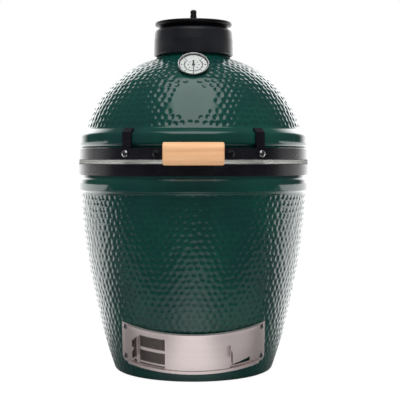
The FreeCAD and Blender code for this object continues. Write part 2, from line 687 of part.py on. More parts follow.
def make_hinge():
    """Brackets, pin, nuts, washers, bolts and the two lift springs at the back."""
    lower_inner = RIM_R - PLAY
    lower_ear = [(226, 390.5), (267, 405.7), (256, 424.7), (226, 410.5)]
    hinge_bracket("hinge_lower_bracket", lower_inner, BASE_TOP - BAND_H, BASE_TOP, 17.5, EAR_OUT, lower_ear)
    upper_inner = DOME_SEAT + PLAY + BAND_T + 0.3
    upper_ear = [(227, 421.5), (257.5, 405.5), (266.9, 425.4), (227, 439.5)]
    low = DOME_LOW + 1
    hinge_bracket("hinge_upper_bracket", upper_inner, low, low + BAND_H - 2, 14.6, EAR_IN, upper_ear)

    pin_half = EAR_OUT + EAR_T + 5
    pin = turned("hinge_pin", rectangle(0, PIN_R, -pin_half, pin_half))
    place(pin, (0, HINGE_Y, SEAM), Rotation(Y_AXIS, 90))
    subpart(pin, "hinge_pin")

    nuts = []
    washers = []
    for side in (-1, 1):
        nut = new_body("pin_nut_%d" % (side + 1))
        padded(nut, "nut_hex_%d" % (side + 1), "XY_Plane", hexagon(NUT_FLATS), 6, 0.4)
        round_piece(nut, "nut_bore_%d" % (side + 1), "Subtractive", PIN_R + 0.02, 5.5)
        place(nut, ((EAR_OUT + EAR_T) * side, HINGE_Y, SEAM), Rotation(Y_AXIS, 90 * side))
        nuts.append(nut)
        low = EAR_IN + EAR_T + 0.3
        washer = turned("hinge_washer_%d" % (side + 1), rectangle(PIN_R + 0.3, 9, 0, EAR_OUT - low - 0.3))
        place(washer, (low * side, HINGE_Y, SEAM), Rotation(Y_AXIS, 90 * side))
        washers.append(washer)
    group("hinge_pin_nuts", nuts)
    group("hinge_washers", washers)

    rows = (
        ("hinge_lower_bolts", lower_inner, BASE_TOP - BAND_H / 2),
        ("hinge_upper_bolts", upper_inner, DOME_LOW + BAND_H / 2),
    )
    for label, inner, height in rows:
        bolts = []
        for i, azimuth in enumerate(HINGE_BOLT_A):
            bolt = hex_bolt("%s_%d" % (label, i), 3, 6.6, 10, 4)
            place(bolt, at_azimuth(inner + BRACKET_T + 0.1, azimuth, height), outward(azimuth))
            bolts.append(bolt)
        group(label, bolts)


def make_hinge_springs():
    """Two coil springs round the pin, one beside each pair of ears."""
    turns = 7
    pitch = 2 * SPRING_WIRE.value + 0.5
    reach = 46
    for name, start in (("hinge_spring_left", -reach), ("hinge_spring_right", reach - turns * pitch)):
        body = new_body(name)
        profile = rings(body, name + "_wire", "XZ_Plane", [(SPRING_R, 0, SPRING_WIRE)])
        coil = body.newObject("PartDesign::AdditiveHelix", name + "_coil")
        coil.Profile = profile
        coil.ReferenceAxis = (profile, ["V_Axis"])
        coil.Mode = 0
        coil.Pitch = pitch
        coil.Height = turns * pitch
        DOC.recompute()
        place(body, (start, HINGE_Y, SEAM), Rotation(Y_AXIS, 90))
        subpart(body, name)


# ---------------------------------------------------------------- handle
RIM_PLAY = 0.7
HANDLE_BOLT = 4
GRIP_END_GAP = 2.4


def make_handle():
    """Brackets, arms, grip, rod and their bolts, on the dome's band."""
    face = RIM_R + RIM_PLAY
    outer = face + BRACKET_T
    brackets = []
    bolts = []
    spacers = []
    arms = []
    for side in (-1, 1):
        azimuth = side * BRACKET_A.value
        bracket = new_body("bracket_%d" % (side + 1))
        low = DOME_LOW + 1.5
        path = [
            (-face, low), (-face, DOME_RIM_TOP + 0.6), (-225.4, 475.1), (-227.9, 478.2),
            (-outer, DOME_RIM_TOP + 2), (-outer, low),
        ]
        padded(bracket, "bracket_bar_%d" % (side + 1), "YZ_Plane", path, BRACKET_W, -BRACKET_W / 2)
        round_piece(bracket, "bracket_hole_%d" % (side + 1), "Subtractive", HANDLE_BOLT_HOLE, 30,
                    (0, -face + 10, ARM_Z), Rotation(X_AXIS, 90))
        place(bracket, (0, 0, 0), Rotation(Z_AXIS, azimuth))
        brackets.append(bracket)
        band_face = DOME_SEAT + PLAY + BAND_T
        gap = face - band_face
        spacer = turned("bracket_spacer_%d" % (side + 1), rectangle(HANDLE_BOLT_HOLE, 8, 0.1, gap - 0.1))
        place(spacer, at_azimuth(band_face, azimuth, ARM_Z), outward(azimuth))
        spacers.append(spacer)
        bolt = pan_screw("bracket_bolt_%d" % (side + 1), HANDLE_BOLT, 12, 6.6, 4.2)
        place(bolt, at_azimuth(outer + ARM_T + 0.3, azimuth, ARM_Z), outward(azimuth))
        bolts.append(bolt)
        arms.append(handle_arm(side))
    subpart(brackets[0], "handle_bracket_left")
    subpart(brackets[1], "handle_bracket_right")
    subpart(arms[0], "handle_arm_left")
    subpart(arms[1], "handle_arm_right")
    group("bracket_spacers", spacers)
    group("bracket_bolts", bolts)
    make_grip()


def handle_arm(side):
    """A flat strap from a bracket to the end of the grip, bent at both ends."""
    azimuth = BRACKET_A
    foot_near = RIM_R + RIM_PLAY + BRACKET_T + 0.1
    foot_far = foot_near + ARM_T
    tip = GRIP_L / 2 + GRIP_END_GAP

    def foot(radius, along):
        """A point beside the bracket: at a radius, and along its face away from the grip."""
        return (radius * sine(azimuth) + cosine(azimuth) * along,
                -(radius * cosine(azimuth)) + sine(azimuth) * along)

    corners = [
        foot(foot_near, 9), foot(foot_near, -9.6), (tip, -(GRIP_FRONT - 33.9)), (tip, -(GRIP_FRONT - 4)),
        (tip + ARM_T, -(GRIP_FRONT - 4)), (tip + ARM_T, -(GRIP_FRONT - 31.8)), foot(foot_far, -8.2),
        foot(foot_far, 9),
    ]
    path = [(c[0] * side, c[1]) for c in corners]
    if side < 0:
        path = path[::-1]
    body = new_body("arm_%d" % (side + 1))
    padded(body, "arm_bar_%d" % (side + 1), "XY_Plane", path, ARM_H, ARM_Z - ARM_H / 2)
    bolt_at = at_azimuth(foot_near - 10, side * azimuth.value, ARM_Z)
    round_piece(body, "arm_bolt_hole_%d" % (side + 1), "Subtractive", HANDLE_BOLT_HOLE, 30, bolt_at,
                outward(side * azimuth.value))
    round_piece(body, "arm_rod_hole_%d" % (side + 1), "Subtractive", ROD_R + 0.2, 40,
                ((tip - 10) * side, -(GRIP_FRONT - GRIP_D / 2), GRIP_Z), Rotation(Y_AXIS, 90 * side))
    return body


def make_grip():
    """The wooden grip with its through rod, washers and cap nuts."""
    grip = new_body("handle_grip")
    low = GRIP_Z - GRIP_H / 2
    high = GRIP_Z + GRIP_H / 2
    front = -GRIP_FRONT
    back = -(GRIP_FRONT - GRIP_D)
    big = 11
    small = 6
    path = [
        (front + big, low), (back - small, low), Bend(small, 1), (back, low + small), (back, high - small),
        Bend(small, 1), (back - small, high), (front + big, high), Bend(big, 1), (front, high - big),
        (front, low + big), Bend(big, 1),
    ]
    bar = padded(grip, "grip_bar", "YZ_Plane", path, GRIP_L, -GRIP_L / 2)
    DOC.recompute()
    ends = [i + 1 for i, f in enumerate(bar.Shape.Faces) if abs(f.CenterOfMass.x) > GRIP_L.value / 2 - 0.1]
    edges = grip.newObject("PartDesign::Chamfer", "grip_ends")
    edges.Base = (bar, ["Face%d" % i for i in ends])
    edges.Size = 1.5
    DOC.recompute()
    axis_y = -(GRIP_FRONT - GRIP_D / 2)
    round_piece(grip, "grip_bore", "Subtractive", ROD_R + 0.2, GRIP_L + 10,
                (-GRIP_L / 2 - 5, axis_y, GRIP_Z), Rotation(Y_AXIS, 90))
    subpart(grip, "handle_grip")
    arm_face = GRIP_L / 2 + GRIP_END_GAP + ARM_T
    rod_half = arm_face + 7
    rod = turned("handle_rod", rectangle(0, ROD_R, -rod_half, rod_half))
    place(rod, (0, axis_y, GRIP_Z), Rotation(Y_AXIS, 90))
    subpart(rod, "handle_rod")
    washers = []
    nuts = []
    for side in (-1, 1):
        turn = Rotation(Y_AXIS, 90 * side)
        washer = turned("grip_washer_%d" % (side + 1), rectangle(ROD_R + 0.2, 9, 0.1, 2.2))
        place(washer, ((GRIP_L / 2) * side, axis_y, GRIP_Z), turn)
        washers.append(washer)
        path = [
            (ROD_R + 0.05, 0.1), (7, 0.1), (7, 5), Bend(6.5, 1), (1.5, 11), (0, 11), (0, 8),
            (ROD_R + 0.05, 8),
        ]
        nut = turned("rod_nut_%d" % (side + 1), path)
        place(nut, (arm_face * side, axis_y, GRIP_Z), turn)
        nuts.append(nut)
    group("grip_washers", washers)
    group("handle_rod_nuts", nuts)


# ---------------------------------------------------------------- chimney cap
VENT_HOLES = 5
SWING_R = 3.5


def make_cap():
    """Collar, seal, vent plate, swing pin and turning disc with its knob."""
    path = [
        (COLLAR_BORE, COLLAR_LOW), (COLLAR_R - 2.4, COLLAR_LOW), Bend(3, 1), (COLLAR_R, COLLAR_LOW + 3),
        (COLLAR_R - 0.6, COLLAR_LOW + 30), (COLLAR_R - 2.4, COLLAR_TOP - 8),
        Bend(7, 1), (COLLAR_R - 8, COLLAR_TOP - 2), Bend(9, 1), (COLLAR_R - 12.5, COLLAR_TOP),
        (THROAT_R, COLLAR_TOP), (THROAT_R, COLLAR_TOP - 6), (COLLAR_BORE, COLLAR_TOP - 6),
    ]
    collar = turned("chimney_collar", path)
    round_piece(collar, "swing_hole", "Subtractive", SWING_R + 0.2, 20, (0, SWING_Y, COLLAR_TOP - 10))
    subpart(collar, "chimney_collar")
    seal_low = COLLAR_LOW + 4
    seal = turned("collar_seal", rectangle(NECK_R + PLAY, COLLAR_BORE - PLAY, seal_low, seal_low + 32))
    subpart(seal, "collar_seal")

    foot = LID_R - 10.8
    floor = LID_TOP - 3.4
    path = [
        (STUD_R + PIN_PLAY, LID_LOW), (foot - 6, LID_LOW), (foot - 6, COLLAR_TOP + 0.3),
        (foot, COLLAR_TOP + 0.3),
        Bend(16, -1), (LID_R - 1.4, LID_TOP - 6.8), Bend(4, 1), (LID_R, LID_TOP - 3.6),
        Bend(4, 1), (LID_R - 1.8, LID_TOP), (ROTOR_R + 0.6, LID_TOP), (ROTOR_R + 0.6, floor),
        (STUD_R + PIN_PLAY, floor),
    ]
    plate = turned("vent_plate", path)
    hole = round_piece(plate, "plate_hole", "Subtractive", VENT_HOLE, 30, (0, VENT_PCR, LID_LOW - 10))
    around(plate, hole, VENT_HOLES)
    round_piece(plate, "plate_swing_bore", "Subtractive", SWING_R + PIN_PLAY, 30,
                (0, SWING_Y, LID_LOW - 10))
    subpart(plate, "vent_plate")

    low = COLLAR_TOP - 9
    path = [
        (0, low), (6, low), (6, COLLAR_TOP - 6.2), (SWING_R, COLLAR_TOP - 6.2), (SWING_R, LID_TOP + 0.3),
        (6.5, LID_TOP + 0.3), (6.5, LID_TOP + 1.2), Bend(6, 1), (4, LID_TOP + 2.4), (0, LID_TOP + 2.4),
    ]
    pin = turned("swing_pin", path)
    place(pin, (0, SWING_Y, 0))
    subpart(pin, "swing_pin")

    disc = turned("vent_rotor", rectangle(STUD_R + 0.02, ROTOR_R, floor + 0.3, LID_TOP - 0.4))
    shut = 180 / VENT_HOLES
    hole = round_piece(disc, "rotor_hole", "Subtractive", VENT_HOLE, 30,
                       (VENT_PCR * sine(shut), VENT_PCR * cosine(shut), LID_LOW - 10))
    around(disc, hole, VENT_HOLES)
    subpart(disc, "vent_rotor")

    low = COLLAR_TOP + 0.6
    path = [
        (0, low), (6, low), (6, LID_LOW - 0.4), (STUD_R, LID_LOW - 0.4), (STUD_R, KNOB_TOP - 4),
        (0, KNOB_TOP - 4),
    ]
    subpart(turned("knob_stud", path), "knob_stud")
    ridges = 8
    ridge = 2.2
    core = 5.2
    bore = STUD_R + PLAY
    start = LID_TOP - 0.3
    path = [(bore, start), (core, start)]
    for i in range(ridges):
        low = start + 0.3 + ridge * i
        path += [(core, low), Bend(ridge * 0.75, 1), (core, low + ridge - 0.3)]
    end = start + 0.6 + ridge * ridges
    path += [(core, end), (bore, end)]
    subpart(turned("knob_grip", path), "knob_grip")
    low = end + PLAY
    bore = STUD_R + 0.05
    path = [
        (bore, low), (5.6, low), (6.4, low + 1), (6.4, KNOB_TOP - 3.4), Bend(4.2, 1), (3, KNOB_TOP),
        (0, KNOB_TOP), (0, KNOB_TOP - 3.6), (bore, KNOB_TOP - 3.6),
    ]
    subpart(turned("knob_nut", path), "knob_nut")


# ---------------------------------------------------------------- thermometer
def at_dial(body):
    """Put a body, modelled with its face at height 0, on the dial's axis."""
    return place(body, (0, DIAL_Y, DIAL_Z), Rotation(X_AXIS, DIAL_TILT.value))


def make_thermometer():
    """Case, bezel, dial, lens, pointer, probe and clip, all on one tilted axis."""
    back = -CASE_D
    bore = CASE_R - 2
    case = turned("thermometer_case", [
        (STEM_R + 0.2, back), (CASE_R - 1.5, back), Bend(2, 1), (CASE_R, back + 1.5), (CASE_R, -2.2),
        (bore, -2.2), (bore, back + 2), (STEM_R + 0.2, back + 2)])
    subpart(at_dial(case), "thermometer_case")
    bezel = turned("thermometer_bezel", [
        (CASE_R - 4.6, -1.2), (CASE_R + 0.1, -2), (CASE_R + 0.1, -5), (BEZEL_R, -5), (BEZEL_R, -1),
        Bend(2.6, 1), (BEZEL_R - 2, 0.8), (BEZEL_R - 3.4, 0.8), (CASE_R - 4.6, -0.4)])
    subpart(at_dial(bezel), "thermometer_bezel")
    dial = turned("thermometer_dial", rectangle(1.6, bore - 0.2, -4.8, -4.2))
    subpart(at_dial(dial), "thermometer_dial")
    lens = turned("thermometer_lens", rectangle(0, bore - 0.2, -2.7, -2.1))
    subpart(at_dial(lens), "thermometer_lens")

    pointer = new_body("thermometer_pointer")
    needle = [(0.7, -16.5), (1.2, -6), (2, 0), (2.2, 9), (-2.2, 9), (-2, 0), (-1.2, -6), (-0.7, -16.5)]
    padded(pointer, "needle", "XY_Plane", needle, 0.4, -3.7)
    round_piece(pointer, "needle_hub", "Additive", 2.8, 0.7, (0, 0, -3.8))
    round_piece(pointer, "needle_shaft", "Additive", 1, 12, (0, 0, -15))
    subpart(at_dial(pointer), "thermometer_pointer")

    tip = -STEM_L
    stem = turned("thermometer_probe", [
        (0, tip), (1.2, tip), (STEM_R, tip + 4), (STEM_R, back + 2.1), (7, back + 2.1), (7, back + 3.4),
        (1.5, back + 3.4), (1.5, -24), (0, -24)])
    subpart(at_dial(stem), "thermometer_probe")
    bore = STEM_R + 0.05
    path = [(bore, -38.5), (6, -38.5), (9.5, -36.4), (9.5, -35.6), (6, -37), (bore, -37)]
    subpart(at_dial(turned("probe_clip", path)), "probe_clip")


# ---------------------------------------------------------------- draft door
def on_draft(body, turn=0):
    """Put a body on the draft door's tilted cylinder, turned about its axis."""
    body.Placement = FreeCAD.Placement(Vector(0, 0, 0),
                                       Rotation(X_AXIS, VENT_TILT.value) * Rotation(Z_AXIS, turn))
    body.setExpression("Placement.Base.z", VENT_Z.text)
    return body


def plate_path(radius, low, high):
    """Section of a curved sheet in the front half-plane."""
    return rectangle(-(radius + SHEET_T), -radius, low, high)


def window_cut(body, name, radius, low, high, right, left):
    """Cut a window through a curved sheet."""
    path = rectangle(-(radius + 6), -(radius - 6), low, high)
    return sector(body, name, path, right, left, cut=True)


SCREW_SPOTS = ((-43.6, 32), (43.6, 32), (-43.6, -29), (43.6, -29))


def make_draft_frame():
    """The curved frame: a plate with a window, and channels that hold both doors."""
    frame = new_body("draft_frame")
    sector(frame, "frame_plate", plate_path(VENT_R, -VENT_H, VENT_H), VENT_A, VENT_A)
    outer = VENT_R + SHEET_T
    rail_a = VENT_A - 6
    lip = outer + 4.4
    for side in (-1, 1):
        near = VENT_H * side
        far = (VENT_H - 1.2) * side
        inner = (VENT_H - 5.5) * side
        low, high = (near, far) if side < 0 else (far, near)
        sector(frame, "rail_web_%d" % (side + 1), rectangle(-lip, -(outer - 0.5), low, high),
               rail_a, rail_a)
        low, high = (near, inner) if side < 0 else (inner, near)
        sector(frame, "rail_lip_%d" % (side + 1), rectangle(-(lip + 1), -lip, low, high), rail_a, rail_a)
    window_cut(frame, "frame_window", VENT_R, -WINDOW_H, WINDOW_H, WINDOW_A, WINDOW_A)
    slot = rectangle(-(VENT_R + 2.5), -(VENT_R - 3), -32.6, -28.8)
    sector(frame, "ash_slot_left", slot, -18.5, 37, cut=True)
    wedge = frame.newObject("PartDesign::Pocket", "ash_slot_right")
    triangle = [(-22, -30.5), (22, -30.5), (22, -22)]
    wedge.Profile = outline(frame, "ash_slot_right_profile", "XZ_Plane", triangle)
    turn_sketch(wedge.Profile[0], Rotation(Z_AXIS, 28))
    wedge.Length = VENT_R.value + 20
    wedge.Reversed = True
    for side in (-1, 1):
        cut_corner(frame, side)
    for i, (azimuth, height) in enumerate(SCREW_SPOTS):
        at = at_azimuth(VENT_R.value - 4, azimuth, height)
        round_piece(frame, "screw_hole_%d" % i, "Subtractive", 2.6, 12, at, outward(azimuth))
    subpart(on_draft(frame), "draft_frame")


def cut_corner(frame, side):
    """Take a lower corner off the draft frame."""
    size = 9
    azimuth = side * (VENT_A.value - 2.2)
    spin = Rotation(Z_AXIS, azimuth)
    turn = spin * Rotation(Y_AXIS, 45)
    at = outward(azimuth).multVec(Vector(0, 0, VENT_R.value + 1))
    at += Vector(0, 0, -VENT_H.value) + spin.multVec(Vector(side * 7, 0, 0))
    feature = frame.newObject("PartDesign::SubtractiveBox", "corner_%d" % (side + 1))
    feature.Length = size
    feature.Width = 20
    feature.Height = size
    feature.Placement = FreeCAD.Placement(at + turn.multVec(Vector(-size / 2, -10, -size / 2)), turn)


DOOR_SHEET = 0.9


def make_draft_doors():
    """The solid door, and the ember screen that slides behind it."""
    high = VENT_H - 1.7
    low = -high
    radius = VENT_R + SHEET_T + 2.6
    door = new_body("draft_door")
    sheet = rectangle(-(radius + DOOR_SHEET), -radius, low, high)
    sector(door, "door_sheet", sheet, DOOR_RIGHT, DOOR_LEFT)
    flap = [(radius + 0.4, -7), (radius + 15, -18), (radius + 15, 3), (radius + 0.4, 15)]
    padded(door, "door_flap", "XZ_Plane", flap, 1, -0.5)
    DOC.recompute()
    turn_sketch(door.Tip.Profile[0], Rotation(Z_AXIS, DOOR_RIGHT.value - 90.2))
    subpart(on_draft(door), "draft_door")

    radius = VENT_R + SHEET_T + 0.5
    screen = new_body("ember_screen")
    sheet = rectangle(-(radius + DOOR_SHEET), -radius, low, high)
    sector(screen, "screen_sheet", sheet, SCREEN_RIGHT, SCREEN_LEFT)
    flap = [(radius + 0.4, -20), (radius + 15, -18), (radius + 15, -5), (radius + 9, -2), (radius + 9, 2),
            (radius + 15, 5), (radius + 15, 18), (radius + 0.4, 20)]
    padded(screen, "screen_flap", "XZ_Plane", flap, 1, -0.5)
    turn_sketch(screen.Tip.Profile[0], Rotation(Z_AXIS, -SCREEN_LEFT.value - 89.8))
    window_cut(screen, "screen_slot", radius, -32, -29.6, -3, 32.5)
    for i, (window_low, window_high) in enumerate(((-25.8, -3.2), (3.2, 25.8))):
        window_cut(screen, "screen_window_%d" % i, radius, window_low, window_high, SCREEN_RIGHT - 2.6,
                   SCREEN_LEFT - 2.2)
    subpart(on_draft(screen), "ember_screen")

    mesh = new_body("ember_mesh")
    middle = radius + 0.2
    sector(mesh, "mesh_sheet", rectangle(-(middle + 0.5), -middle, -25.7, 25.7), SCREEN_RIGHT - 2.7,
           SCREEN_LEFT - 2.3)
    sector(mesh, "mesh_gap", rectangle(-(radius + 5), -(radius - 5), -3.3, 3.3), 60, 60, cut=True)
    subpart(on_draft(mesh), "ember_mesh")


def turn_sketch(sketch, turn):
    """Turn a flap's sketch plane round the cylinder's axis."""
    base = Rotation(X_AXIS, 90)
    sketch.AttachmentOffset = FreeCAD.Placement(Vector(), base.inverted() * turn * base)


def make_draft_screws():
    """Four screws that hold the draft frame to the ceramic."""
    screws = []
    turn = Rotation(X_AXIS, VENT_TILT.value)
    for i, (azimuth, height) in enumerate(SCREW_SPOTS):
        screw = pan_screw("draft_screw_%d" % i, 2.4, 0.9, 4.8, 2.6)
        out = outward(azimuth)
        local = out.multVec(Vector(0, 0, VENT_R.value + SHEET_T.value + 0.1)) + Vector(0, 0, height)
        screw.Placement = FreeCAD.Placement(turn.multVec(local) + Vector(0, 0, VENT_Z.value), turn * out)
        screws.append(screw)
    group("draft_screws", screws)


# ---------------------------------------------------------------- the whole grill
def check_document():
    """Every object recomputed, and every sub-part a valid solid."""
    for thing in DOC.Objects:
        bad = [state for state in thing.State if "Invalid" in state or "Error" in state]
        if bad:
            raise SystemExit("%s (%s) is %s" % (thing.Label, thing.Name, bad))
    for thing in SUBPARTS:
        if thing.Shape.isNull() or not thing.Shape.isValid() or not thing.Shape.Solids:
            raise SystemExit("%s has no valid shape" % thing.Label)


def write_parts():
    """Write each sub-part's shape to its own file, and print its volume."""
    os.makedirs("parts", exist_ok=True)
    for thing in SUBPARTS:
        thing.Shape.exportStep("parts/%s.step" % thing.Label)
        solids = len(thing.Shape.Solids)
        print("%-24s %d solid(s) %9.1f cm3" % (thing.Label, solids, thing.Shape.Volume / 1000))


make_base_shell()
make_dome_shell()
make_fire_parts()
make_cooking_grid()
make_bands()
make_hinge()
make_hinge_springs()
make_handle()
make_cap()
make_thermometer()
make_draft_frame()
make_draft_doors()
make_draft_screws()
DOC.recompute()
check_document()
write_parts()
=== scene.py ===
"""Looks of a kamado ceramic grill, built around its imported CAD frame.  Metres, +Z up,
front towards -Y.  Everything here is placed from the frame or from the sizes below."""
import bpy
import math
import numpy as np
from mathutils import Matrix, Vector, kdtree


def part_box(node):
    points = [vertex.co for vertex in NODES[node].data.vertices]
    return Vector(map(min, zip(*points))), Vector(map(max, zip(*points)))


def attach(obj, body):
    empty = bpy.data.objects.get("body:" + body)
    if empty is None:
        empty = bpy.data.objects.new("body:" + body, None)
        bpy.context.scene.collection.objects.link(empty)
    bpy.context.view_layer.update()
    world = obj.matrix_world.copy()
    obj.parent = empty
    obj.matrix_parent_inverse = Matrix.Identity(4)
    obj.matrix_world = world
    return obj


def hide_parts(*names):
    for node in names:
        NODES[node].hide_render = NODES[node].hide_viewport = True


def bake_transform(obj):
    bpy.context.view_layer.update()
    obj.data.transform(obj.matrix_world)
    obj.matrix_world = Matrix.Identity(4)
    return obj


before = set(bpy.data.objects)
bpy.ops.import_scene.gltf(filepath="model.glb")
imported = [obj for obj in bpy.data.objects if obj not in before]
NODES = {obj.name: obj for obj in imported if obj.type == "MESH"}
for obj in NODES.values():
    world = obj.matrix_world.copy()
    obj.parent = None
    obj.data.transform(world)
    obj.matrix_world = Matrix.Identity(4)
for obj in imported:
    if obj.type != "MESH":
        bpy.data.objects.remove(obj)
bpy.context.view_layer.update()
MM = 0.001

# Sizes of the CAD model that the pieces here repeat, in millimetres.  An arc is its centre's
# distance from the axis, its centre's height and its radius.
SIDE_ARC = (-1007.4, 413.4, 1236.0)
DOME_ARC = (26.3, 427.3, 199.1)
BASE_WALL = 17
BASE_FLOOR = 20
BASE_TOP = 411
DOME_WALL = 16
DOME_BOTTOM = 420
RIM_RADIUS = 233
NECK_RADIUS = 72
NECK_FILLET = 12
NECK_TOP = 668
CHIMNEY_RADIUS = 56

# The draft parts lie on cylinders round one axis, which leans forward as the base's front does.
DRAFT_TILT = math.radians(17)
DRAFT_HEIGHT = 112.7
DRAFT_FRAME = Matrix.Translation((0, 0, DRAFT_HEIGHT)) @ Matrix.Rotation(DRAFT_TILT, 4, "X")
SEAT_RADIUS = 185.9
PORT_RADIUS = 186.6
MESH_RADIUS = 188.55
SCREEN_RADIUS = 189.0
DOOR_RADIUS = 191.1

# The thermometer's own frame has its dial's outer normal along +Z.
DIAL_CENTRE = Vector((0, -146, 600.6))
DIAL_TURN = Matrix.Rotation(math.radians(49), 4, "X")
DIAL_FRAME = Matrix.Translation(DIAL_CENTRE * MM) @ DIAL_TURN
CASE_DEPTH = 10.5


# ================================================================ node materials
class Nodes:
    """A short way to write one node material."""

    def __init__(self, name):
        self.material = bpy.data.materials.new(name)
        self.material.use_nodes = True
        self.tree = self.material.node_tree
        self.shader = self.tree.nodes["Principled BSDF"]

    def add(self, kind, **settings):
        """A new node.  Each setting is one of its properties, or else the value of an input."""
        node = self.tree.nodes.new(kind)
        for key, value in settings.items():
            if hasattr(node, key):
                setattr(node, key, value)
            else:
                node.inputs[key.replace("_", " ")].default_value = value
        return node

    def link(self, out, socket):
        self.tree.links.new(out, socket)

    def set(self, **values):
        """Uniform values of the shader's inputs."""
        for key, value in values.items():
            self.shader.inputs[key.replace("_", " ")].default_value = value

    def place(self, scale=(1, 1, 1), turn=(0, 0, 0)):
        """The object's own coordinates, turned and stretched."""
        where = self.add("ShaderNodeTexCoord")
        mapping = self.add("ShaderNodeMapping", Scale=scale, Rotation=turn)
        self.link(where.outputs["Object"], mapping.inputs["Vector"])
        return mapping.outputs["Vector"]

    def noise(self, vector, scale, detail=4.0, rough=0.55, distortion=0.0):
        node = self.add("ShaderNodeTexNoise", Scale=scale, Detail=detail, Roughness=rough,
                        Distortion=distortion)
        self.link(vector, node.inputs["Vector"])
        return node.outputs["Fac"]

    def ramp(self, value, stops):
        """Colour by value, through stops of position and colour."""
        node = self.add("ShaderNodeValToRGB")
        elements = node.color_ramp.elements
        while len(elements) < len(stops):
            elements.new(0.5)
        for element, (position, colour) in zip(elements, stops):
            element.position = position
            element.color = (*colour, 1)
        self.link(value, node.inputs["Fac"])
        return node.outputs["Color"]

    def mix(self, factor, a, b):
        """Colour between a and b.  Each argument is a fixed value or a node's output."""
        node = self.add("ShaderNodeMix", data_type="RGBA")
        sockets = [s for s in node.inputs if s.enabled]
        for value, socket in zip((factor, a, b), sockets):
            if isinstance(value, tuple):
                socket.default_value = (*value, 1)
            elif isinstance(value, (int, float)):
                socket.default_value = value
            else:
                self.link(value, socket)
        return [s for s in node.outputs if s.enabled][0]

    def span(self, value, low, high):
        """A value from 0 to 1, spread between low and high."""
        node = self.add("ShaderNodeMapRange", To_Min=low, To_Max=high)
        self.link(value, node.inputs["Value"])
        return node.outputs["Result"]

    def bump(self, height, strength, distance):
        node = self.add("ShaderNodeBump", Strength=strength, Distance=distance)
        self.link(height, node.inputs["Height"])
        self.link(node.outputs["Normal"], self.shader.inputs["Normal"])

    def attribute(self, name):
        return self.add("ShaderNodeAttribute", attribute_name=name).outputs["Fac"]

    def colour(self, socket):
        self.link(socket, self.shader.inputs["Base Color"])

    def roughness(self, socket):
        self.link(socket, self.shader.inputs["Roughness"])


class Field:
    """Arithmetic on one number at each point, written in a node tree."""

    def __init__(self, tree, socket):
        self.tree = tree
        self.socket = socket

    def math(self, operation, other=None):
        node = self.tree.nodes.new("ShaderNodeMath")
        node.operation = operation
        self.tree.links.new(self.socket, node.inputs[0])
        if isinstance(other, Field):
            self.tree.links.new(other.socket, node.inputs[1])
        elif other is not None:
            node.inputs[1].default_value = other
        return Field(self.tree, node.outputs[0])

    def step(self, start, end, low=0.0, high=1.0):
        """Rises smoothly from low to high while the number goes from start to end."""
        node = self.tree.nodes.new("ShaderNodeMapRange")
        node.interpolation_type = "SMOOTHSTEP"
        for name, value in zip(("From Min", "From Max", "To Min", "To Max"), (start, end, low, high)):
            node.inputs[name].default_value = value
        self.tree.links.new(self.socket, node.inputs["Value"])
        return Field(self.tree, node.outputs["Result"])

    def between(self, rise, fall):
        """1 between two soft edges and 0 outside them; each edge is a start and an end."""
        return self.step(*rise) * self.step(*fall, 1, 0)

    def __mul__(self, other):
        return self.math("MULTIPLY", other)

    def __add__(self, other):
        return self.math("ADD", other)


BLACK = (0, 0, 0)
WHITE = (1, 1, 1)
GLAZE_DARK = (0.0040, 0.025, 0.027)
GLAZE_LIGHT = (0.0045, 0.055, 0.037)
GLAZE_POOL = (0.0036, 0.033, 0.031)
GLAZE_SPECK = (0.012, 0.085, 0.065)
CLAY_DARK = (0.42, 0.33, 0.24)
CLAY_LIGHT = (0.62, 0.52, 0.41)
CLAY_ROUGHNESS = 0.85
WOOD_LIGHT = (0.80, 0.48, 0.27)
WOOD_MID = (0.71, 0.39, 0.20)
WOOD_DARK = (0.56, 0.27, 0.125)
WOOD_PORE = (0.34, 0.16, 0.07)
SHEET_TINT = (0.82, 0.71, 0.70)
SHEET_SHADE = tuple(0.82 * channel for channel in SHEET_TINT)
# Painted shade: the dark colour painted on the draft parts' bent flaps, standing in for the dark room that
# they mirror.
FLAP_PAINTED_SHADE = (0.07, 0.055, 0.055)
LEAN = (-DRAFT_TILT, 0, 0)


def glaze_material():
    """Deep green glaze that pools in the dimples, over pale ceramic where it is unglazed."""
    n = Nodes("green_glaze")
    where = n.place()
    cloud = n.noise(where, 7, 6, 0.62)
    fine = n.noise(where, 160, 3)
    green = n.ramp(cloud, [(0.3, GLAZE_DARK), (0.7, GLAZE_LIGHT)])
    pooled = n.mix(n.attribute("hollow"), green, GLAZE_POOL)
    speckle = n.ramp(n.noise(where, 900, 2), [(0.68, BLACK), (0.75, WHITE)])
    glazed = n.mix(n.mix(0.94, speckle, BLACK), pooled, GLAZE_SPECK)
    clay = n.ramp(n.noise(where, 45, 8, 0.7), [(0.3, CLAY_DARK), (0.7, CLAY_LIGHT)])
    inside = n.attribute("inside")
    n.colour(n.mix(inside, glazed, clay))
    base_rough = n.span(n.noise(where, 30, 4), 0.035, 0.09)
    rough = n.add("ShaderNodeMix", data_type="FLOAT")
    n.link(inside, rough.inputs[0])
    n.link(base_rough, rough.inputs[2])
    rough.inputs[3].default_value = CLAY_ROUGHNESS
    n.roughness(rough.outputs[0])
    n.bump(fine, 0.1, 0.0004)
    n.set(IOR=1.52)
    return n.material


def brushed_sheet(name):
    """Brushed stainless sheet without its colour, and the fine level lines of its brushing,
    which lean as the draft parts do."""
    n = Nodes(name)
    lines = n.noise(n.place((9, 9, 1600), LEAN), 1.0, 3, 0.6)
    n.roughness(n.span(lines, 0.2, 0.3))
    n.bump(lines, 0.04, 0.0001)
    n.set(Metallic=0.75)
    return n, lines


def stainless_material():
    """Brushed sheet with soft smears."""
    n, lines = brushed_sheet("brushed_stainless")
    smear = n.noise(n.place((9, 9, 30), LEAN), 1.0, 4)
    n.colour(n.mix(n.mix(0.5, lines, smear), SHEET_SHADE, SHEET_TINT))
    return n.material


